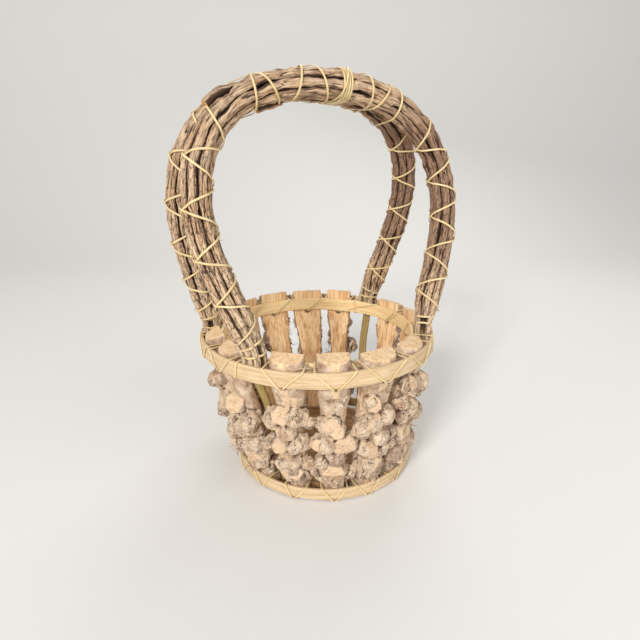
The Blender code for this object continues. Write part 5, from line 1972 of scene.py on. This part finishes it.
@dataclass
class Lacing:
    """Cane wound along the handle and back over itself, drawn tight to the twigs."""

    sizes: ArchSizes
    strand: Strand = Strand(width=0.0023)
    steps: int = 56
    start_rise: float = 0.027
    leg_end_share: float = 0.680
    top_start_share: float = 0.805
    leg_turns: int = 5
    top_turns: int = 4
    tie_turns: int = 4
    tie_pitch: float = 0.0032
    tie_share: float = 0.60
    hug: float = 0.0010
    top_hug: float = 0.0010
    wrap_rises: tuple[float, ...] = (0.009, 0.019)
    crossing_lift: float = 0.0014
    crossing_zone: tuple[float, float] = (0.0012, 0.0034)
    wrap_lean: float = 0.0022
    wrap_spacing: float = 0.0002
    wrap_rounding: float = 0.0004
    knot_ends: tuple[tuple[float, float], ...] = ((0.006, 0.0055), (-0.001, 0.0080))

    def hull(self, turn: Array, at: Array, length: float) -> Array:
        """Radius of a taut strand round the seven twigs, at an angle from the outward direction."""
        gap = math.tau / self.sizes.twig_count
        twist = self.sizes.twist * np.sin(math.pi * at / length) ** 2
        past = (turn + twist) % gap
        past = np.minimum(past, gap - past)
        return self.sizes.ring * np.cos(past) + self.sizes.twig_radius

    def lift_crossings(self, line: Array, out: Array, turned: int) -> Array:
        """Lift the strand's way back where it crosses its way there.

        Args:
            line: Points of the whole strand.
            out: Its outward directions.
            turned: Number of the point where it turns back.

        Returns:
            The lifted points.
        """
        there, back = line[:turned], line[turned:]
        lift = np.zeros(len(line))
        for first in range(0, len(back), 256):
            block = back[first:first + 256]
            distance = np.linalg.norm(block[:, None] - there[None], axis=2).min(axis=1)
            lift[turned + first:turned + first + len(block)] = 1 - ramp(distance, *self.crossing_zone)
        ahead = np.arange(len(line)) - turned
        lift[turned:] *= ease(ahead[turned:] / (self.steps / 4))
        kernel = np.hanning(9)
        lift = np.convolve(lift, kernel / kernel.sum(), mode="same")
        return line + out * (lift * self.crossing_lift)[:, None]

    def leg(self, arch: Arch, way: Way, node: str) -> None:
        """Wind one leg of a bundle.

        Args:
            arch: The bundle's arch.
            way: Which leg.
            node: The CAD node that the strand replaces.
        """
        low = arch.distance_at(arch.wall.rim.top + self.start_rise, way)
        high = arch.distance_at(mix(arch.belly, arch.top, self.leg_end_share), way)
        count = 2 * self.leg_turns * self.steps
        step = np.arange(count + 1)
        share = step / count
        at = mix(low, high, np.where(share < 0.5, 2 * share, 2 - 2 * share))
        turn = math.tau * step / self.steps
        point, outward, sideward = arch.read(at)
        out = outward * np.cos(turn)[:, None] + sideward * np.sin(turn)[:, None]
        radius = self.hull(turn, at, arch.length) + self.hug
        line = self.lift_crossings(point + out * radius[:, None], out, count // 2)
        self.strand.lay(node.replace("lacing", "cane"), line, out, [node], taper=True)

    def wrap(self, arch: Arch, way: Way, foot: str) -> None:
        """Bind a foot of a bundle just over the rim, with turns that lie flat round its twigs.

        Args:
            arch: The bundle's arch.
            way: Which leg.
            foot: Name of the foot.
        """
        turn = np.arange(241) * math.tau / 240
        for number, rise in enumerate(self.wrap_rises, 1):
            at = arch.distance_at(arch.wall.rim.top + rise, way)
            at = at + self.wrap_lean * np.cos(turn + number * 2.2)
            places = [Twig(arch, index, 0, arch.length, 0).offsets(at)
                      for index in range(self.sizes.twig_count)]
            free = places[0][2]
            radius = mix(self.sizes.twig_foot_radius, self.sizes.twig_radius, free ** 2) + self.hug
            reach = np.stack([side * np.sin(turn) + out * np.cos(turn) for side, out, _ in places])
            widest = np.argmax(reach, axis=0)
            side = np.stack([place[0] for place in places])[widest, np.arange(len(turn))]
            out = np.stack([place[1] for place in places])[widest, np.arange(len(turn))]
            point, outward, sideward = arch.read(at)
            away = outward * np.cos(turn)[:, None] + sideward * np.sin(turn)[:, None]
            rough = (point + sideward * side[:, None] + outward * out[:, None] + away * radius[:, None])[:-1]
            keep = np.linalg.norm(rough - np.roll(rough, 1, axis=0), axis=1) > self.wrap_spacing
            line, away = self.strand.round_corners(rough[keep], away[:-1][keep], self.wrap_rounding, True)
            self.strand.lay(f"{foot}_wrap_{number}", line, away, closed=True)

    def tails(self, name: str, arch: Arch, at: float, turn: float) -> None:
        """Let the two short ends of a knot stand off the inner side of a leg.

        Args:
            name: Name of the knot.
            arch: The bundle's arch.
            at: Distance along the arch.
            turn: Angle round the bundle, from its outward direction.
        """
        point, outward, sideward = (value[0] for value in arch.read(np.array([at])))
        tangent = np.cross(outward, sideward)
        away = outward * math.cos(turn) + sideward * math.sin(turn)
        start = point + away * (float(self.hull(turn, at, arch.length)) - self.hug)
        for number, (lengthwise, lift) in enumerate(self.knot_ends, 1):
            share = np.linspace(0, 1, 14)[:, None]
            line = start + tangent * (lengthwise * share) + away * (lift * share ** 0.7)
            self.strand.lay(f"{name}_{number}", line, np.tile(tangent + outward, (14, 1)), taper=True)

    def top(self, front: Arch, rear: Arch) -> None:
        """Wind both bundles over the top, with the tie of close turns, and back."""
        start = mix(front.belly, front.top, self.top_start_share)
        low, high = (front.distance_at(start, way) for way in Way)
        rear_low, rear_high = (rear.distance_at(start, way) for way in Way)
        tie = self.tie_turns * self.tie_pitch / (high - low)
        before = round(self.top_turns * self.tie_share)
        knots = [0, before, before + self.tie_turns, self.top_turns + self.tie_turns,
                 2 * self.top_turns + self.tie_turns]
        shares = [0, self.tie_share - tie / 2, self.tie_share + tie / 2, 1, 0]
        step = np.arange(knots[-1] * self.steps + 1)
        turns = step / self.steps
        share = np.interp(turns, knots, shares)
        lead, outward, _ = front.read(mix(low, high, share))
        follow, _, _ = rear.read(mix(rear_low, rear_high, share))
        centre, across = (lead + follow) / 2, follow - lead
        half = np.linalg.norm(across, axis=1) / 2
        across = unit(across)
        outward = unit(outward - across * np.sum(outward * across, axis=-1, keepdims=True))
        radius = self.sizes.bundle_radius + self.top_hug
        side, out, side_out, out_out = self.stadium(half, radius, turns % 1)
        line = centre + across * side[:, None] + outward * out[:, None]
        away = across * side_out[:, None] + outward * out_out[:, None]
        line = self.lift_crossings(line, away, knots[3] * self.steps)
        self.strand.lay("top_cane", line, away, ["top_lacing"], taper=True)

    @staticmethod
    def stadium(half: Array, radius: float, turn: Array) -> tuple[Array, Array, Array, Array]:
        """Places round two bundles side by side.

        Args:
            half: Half the distance between the bundles' middles.
            radius: Radius round each of them.
            turn: How far round, from 0 to 1, starting below the rear bundle.

        Returns:
            Across and outward places, then the across and outward parts of the directions away.
        """
        arc, run = math.pi * radius, 2 * half
        total = 2 * (arc + run)
        past = turn * total
        first = np.clip(past / arc, 0, 1) * math.pi - math.pi / 2
        second = np.clip((past - arc - run) / arc, 0, 1) * math.pi + math.pi / 2
        on_top = np.clip((past - arc) / run, 0, 1)
        below = np.clip((past - 2 * arc - run) / run, 0, 1)
        angle = np.where(past < arc + run, first, second)
        middle = np.where(past < arc + run, mix(half, -half, on_top), mix(-half, half, below))
        side = middle + radius * np.cos(angle)
        return side, radius * np.sin(angle), np.cos(angle), np.sin(angle)


@dataclass
class Handle:
    """Both bundles with their cores and lacings."""

    wall: Wall
    sizes: ArchSizes = field(default_factory=ArchSizes)
    short_twig: int = 5
    short_start: int = 0
    short_reach: float = 0.030
    break_station: int = 4
    break_gap: float = 0.003
    break_lift: float = 0.0088
    torn_share: float = 0.392
    torn_length: float = 0.034
    torn_twig: int = 3
    torn_seed: int = 77
    torn_lift: float = -0.0060
    torn_thinness: float = 0.72
    knot_rise: float = 0.127
    knot_width: float = 0.0016

    def build(self) -> None:
        """Make the handle."""
        arches = {}
        for bundle in (FRONT, REAR):
            arch = arches[bundle.name] = Arch(bundle, self.sizes, self.wall)
            Core(arch).build()
            for index in range(self.sizes.twig_count):
                self.twigs(arch, index)
            lacing = Lacing(self.sizes)
            feet = {Way.LEFT: bundle.left_foot, Way.RIGHT: bundle.right_foot}
            for way, foot in feet.items():
                lacing.leg(arch, way, foot + "_lacing")
            for way, foot in feet.items():
                lacing.wrap(arch, way, foot)
        Lacing(self.sizes).top(arches["front"], arches["rear"])
        front = arches["front"]
        knot = front.distance_at(self.wall.rim.top + self.knot_rise, Way.LEFT)
        Lacing(self.sizes, Strand(width=self.knot_width)).tails("left_front_knot", front, knot, math.pi)
        start = front.length * self.torn_share
        torn = Twig(front, self.torn_twig, start, start + self.torn_length, self.torn_seed,
                    lift=self.torn_lift, thinness=self.torn_thinness)
        torn.build("torn_twig_end")

    def twigs(self, arch: Arch, index: int) -> None:
        """Make one twig of a bundle, or the two pieces of the broken one.

        Args:
            arch: The bundle's arch.
            index: Which twig.
        """
        node = f"{arch.bundle.name}_twig_{index + 1}"
        seed = 100 * (1 if arch.bundle is FRONT else 2) + index * 7
        start, end, lift = 0.0, arch.length, 0.0
        if index == self.short_twig:
            start = arch.station(self.short_start) - self.short_reach
            end = arch.length - start
        if arch.bundle is FRONT and index == 0:
            stop = arch.station(self.break_station)
            left = Twig(arch, index, start, stop - self.break_gap, seed)
            left.build("front_bark_twig_1_left", node + "_left")
            start, seed, lift = stop, seed + 3, self.break_lift
        name = f"{arch.bundle.name}_bark_twig_{index + 1}"
        Twig(arch, index, start, end, seed, lifted_start=lift).build(name, node)


# The studio


@dataclass(frozen=True)
class Lamp:
    """A soft square lamp: where it hangs, the height that it faces, its size and its power in watts."""

    name: str
    stand: tuple[float, float, float]
    aim_height: float
    size: float
    power: float


@dataclass(frozen=True)
class Studio:
    """Pale floor, soft light and the photograph's view."""

    eye: tuple[float, float, float] = (-0.0062, -0.5963, 0.399)
    pitch: float = math.radians(19.19)
    lens: float = 27.0
    floor_size: float = 8.0
    floor_colour: str = "#E9E7E3"
    sky: float = 0.34
    lamps: tuple[Lamp, ...] = (Lamp("key", (-1.40, -3.15, 2.05), 0.20, 0.9, 116.0),
                               Lamp("fill", (1.2, -1.0, 0.8), 0.20, 1.2, 8.0),
                               Lamp("back", (0.4, 1.3, 1.4), 0.25, 1.0, 9.0))
    sheet_rise_at: float = 1.2
    sheet_bend: float = 1.0

    def build(self) -> None:
        """Set up the camera, the floor and the lights."""
        self.camera()
        self.floor()
        for lamp in self.lamps:
            self.hang(lamp)
        self.world()
        bpy.context.scene.view_settings.view_transform = "Standard"

    def camera(self) -> None:
        """Stand the camera where the photograph was taken from."""
        forward = Vector((0, math.cos(self.pitch), -math.sin(self.pitch)))
        right = Vector((1, 0, 0))
        up = right.cross(forward)
        axes = Matrix((right, up, -forward)).transposed()
        data = bpy.data.cameras.new("photo_view")
        data.lens, data.sensor_width = self.lens, 36.0
        camera = put_in_scene("photo_view", data)
        camera.matrix_world = Matrix.Translation(self.eye) @ axes.to_4x4()
        bpy.context.scene.camera = camera

    def floor(self) -> None:
        """Lay a pale sheet that rises behind the basket in one sweep."""
        depth = self.floor_size / 2
        profile = [(-depth, 0.0), (self.sheet_rise_at, 0.0)]
        profile += [(self.sheet_rise_at + self.sheet_bend * math.sin(turn),
                     self.sheet_bend * (1 - math.cos(turn))) for turn in np.linspace(0.1, math.pi / 2, 12)]
        profile.append((self.sheet_rise_at + self.sheet_bend, depth))
        points = np.array([(side * depth, y, z) for y, z in profile for side in (-1, 1)])
        faces = [(2 * row, 2 * row + 1, 2 * row + 3, 2 * row + 2) for row in range(len(profile) - 1)]
        sheet = make_piece("studio_sheet", points, faces)
        material = bpy.data.materials.new("studio_paper")
        material.use_nodes = True
        shader = material.node_tree.nodes["Principled BSDF"]
        shader.inputs["Base Color"].default_value = linear(self.floor_colour)
        shader.inputs["Roughness"].default_value = 0.9
        sheet.data.materials.append(material)

    def hang(self, lamp: Lamp) -> None:
        """Hang a lamp so that it faces the basket."""
        data = bpy.data.lights.new(lamp.name, "AREA")
        data.shape, data.size, data.energy = "SQUARE", lamp.size, lamp.power
        away = Vector(lamp.stand) - Vector((0, 0, lamp.aim_height))
        turned = away.to_track_quat("Z", "Y").to_matrix().to_4x4()
        put_in_scene(lamp.name, data).matrix_world = Matrix.Translation(lamp.stand) @ turned

    def world(self) -> None:
        """Light everything softly from all round, with white where only the camera looks."""
        world = bpy.data.worlds.new("studio")
        bpy.context.scene.world = world
        world.use_nodes = True
        tree = world.node_tree
        tree.nodes.clear()
        path = add_node(tree, "LightPath")
        seen = add_node(tree, "Math", {"operation": "MAXIMUM"},
                        {0: path.outputs["Is Camera Ray"], 1: path.outputs["Is Glossy Ray"]})
        strength = add_node(tree, "MapRange", sockets={"Value": seen.outputs[0], "To Min": self.sky,
                                                       "To Max": 1.0})
        light = add_node(tree, "Background", sockets={"Color": (1, 1, 1, 1),
                                                      "Strength": strength.outputs[0]})
        add_node(tree, "OutputWorld", sockets={"Surface": light.outputs[0]})


def main() -> None:
    """Build the basket from the ground up, then the studio round it."""
    logging.basicConfig(level=logging.INFO, format="%(name)s: %(message)s")
    wall = Wall()
    BaseBoard().build()
    Hoop("base_hoop", wall, seed=11).build()
    Hoop("rim_outer_hoop", wall, seed=23).build()
    Hoop("rim_inner_hoop", wall, seed=37, finish=PAINTED_LIGHT_HOOP, lap_angle=math.radians(66)).build()
    rootlets = Rootlets()
    for number in range(1, len(wall.rim_angles) + 1):
        Stave(number, wall, rootlets).build()
    for start, end, seed in TUCKS:
        rootlets.tuck(wall, math.radians(start), math.radians(end), seed)
    rootlets.build()
    lashings = Lashings(wall)
    lashings.rim()
    lashings.base()
    lashings.foot_ties(FOOT_TIES)
    Handle(wall).build()
    Studio().build()


if __name__ == "__main__":
    main()
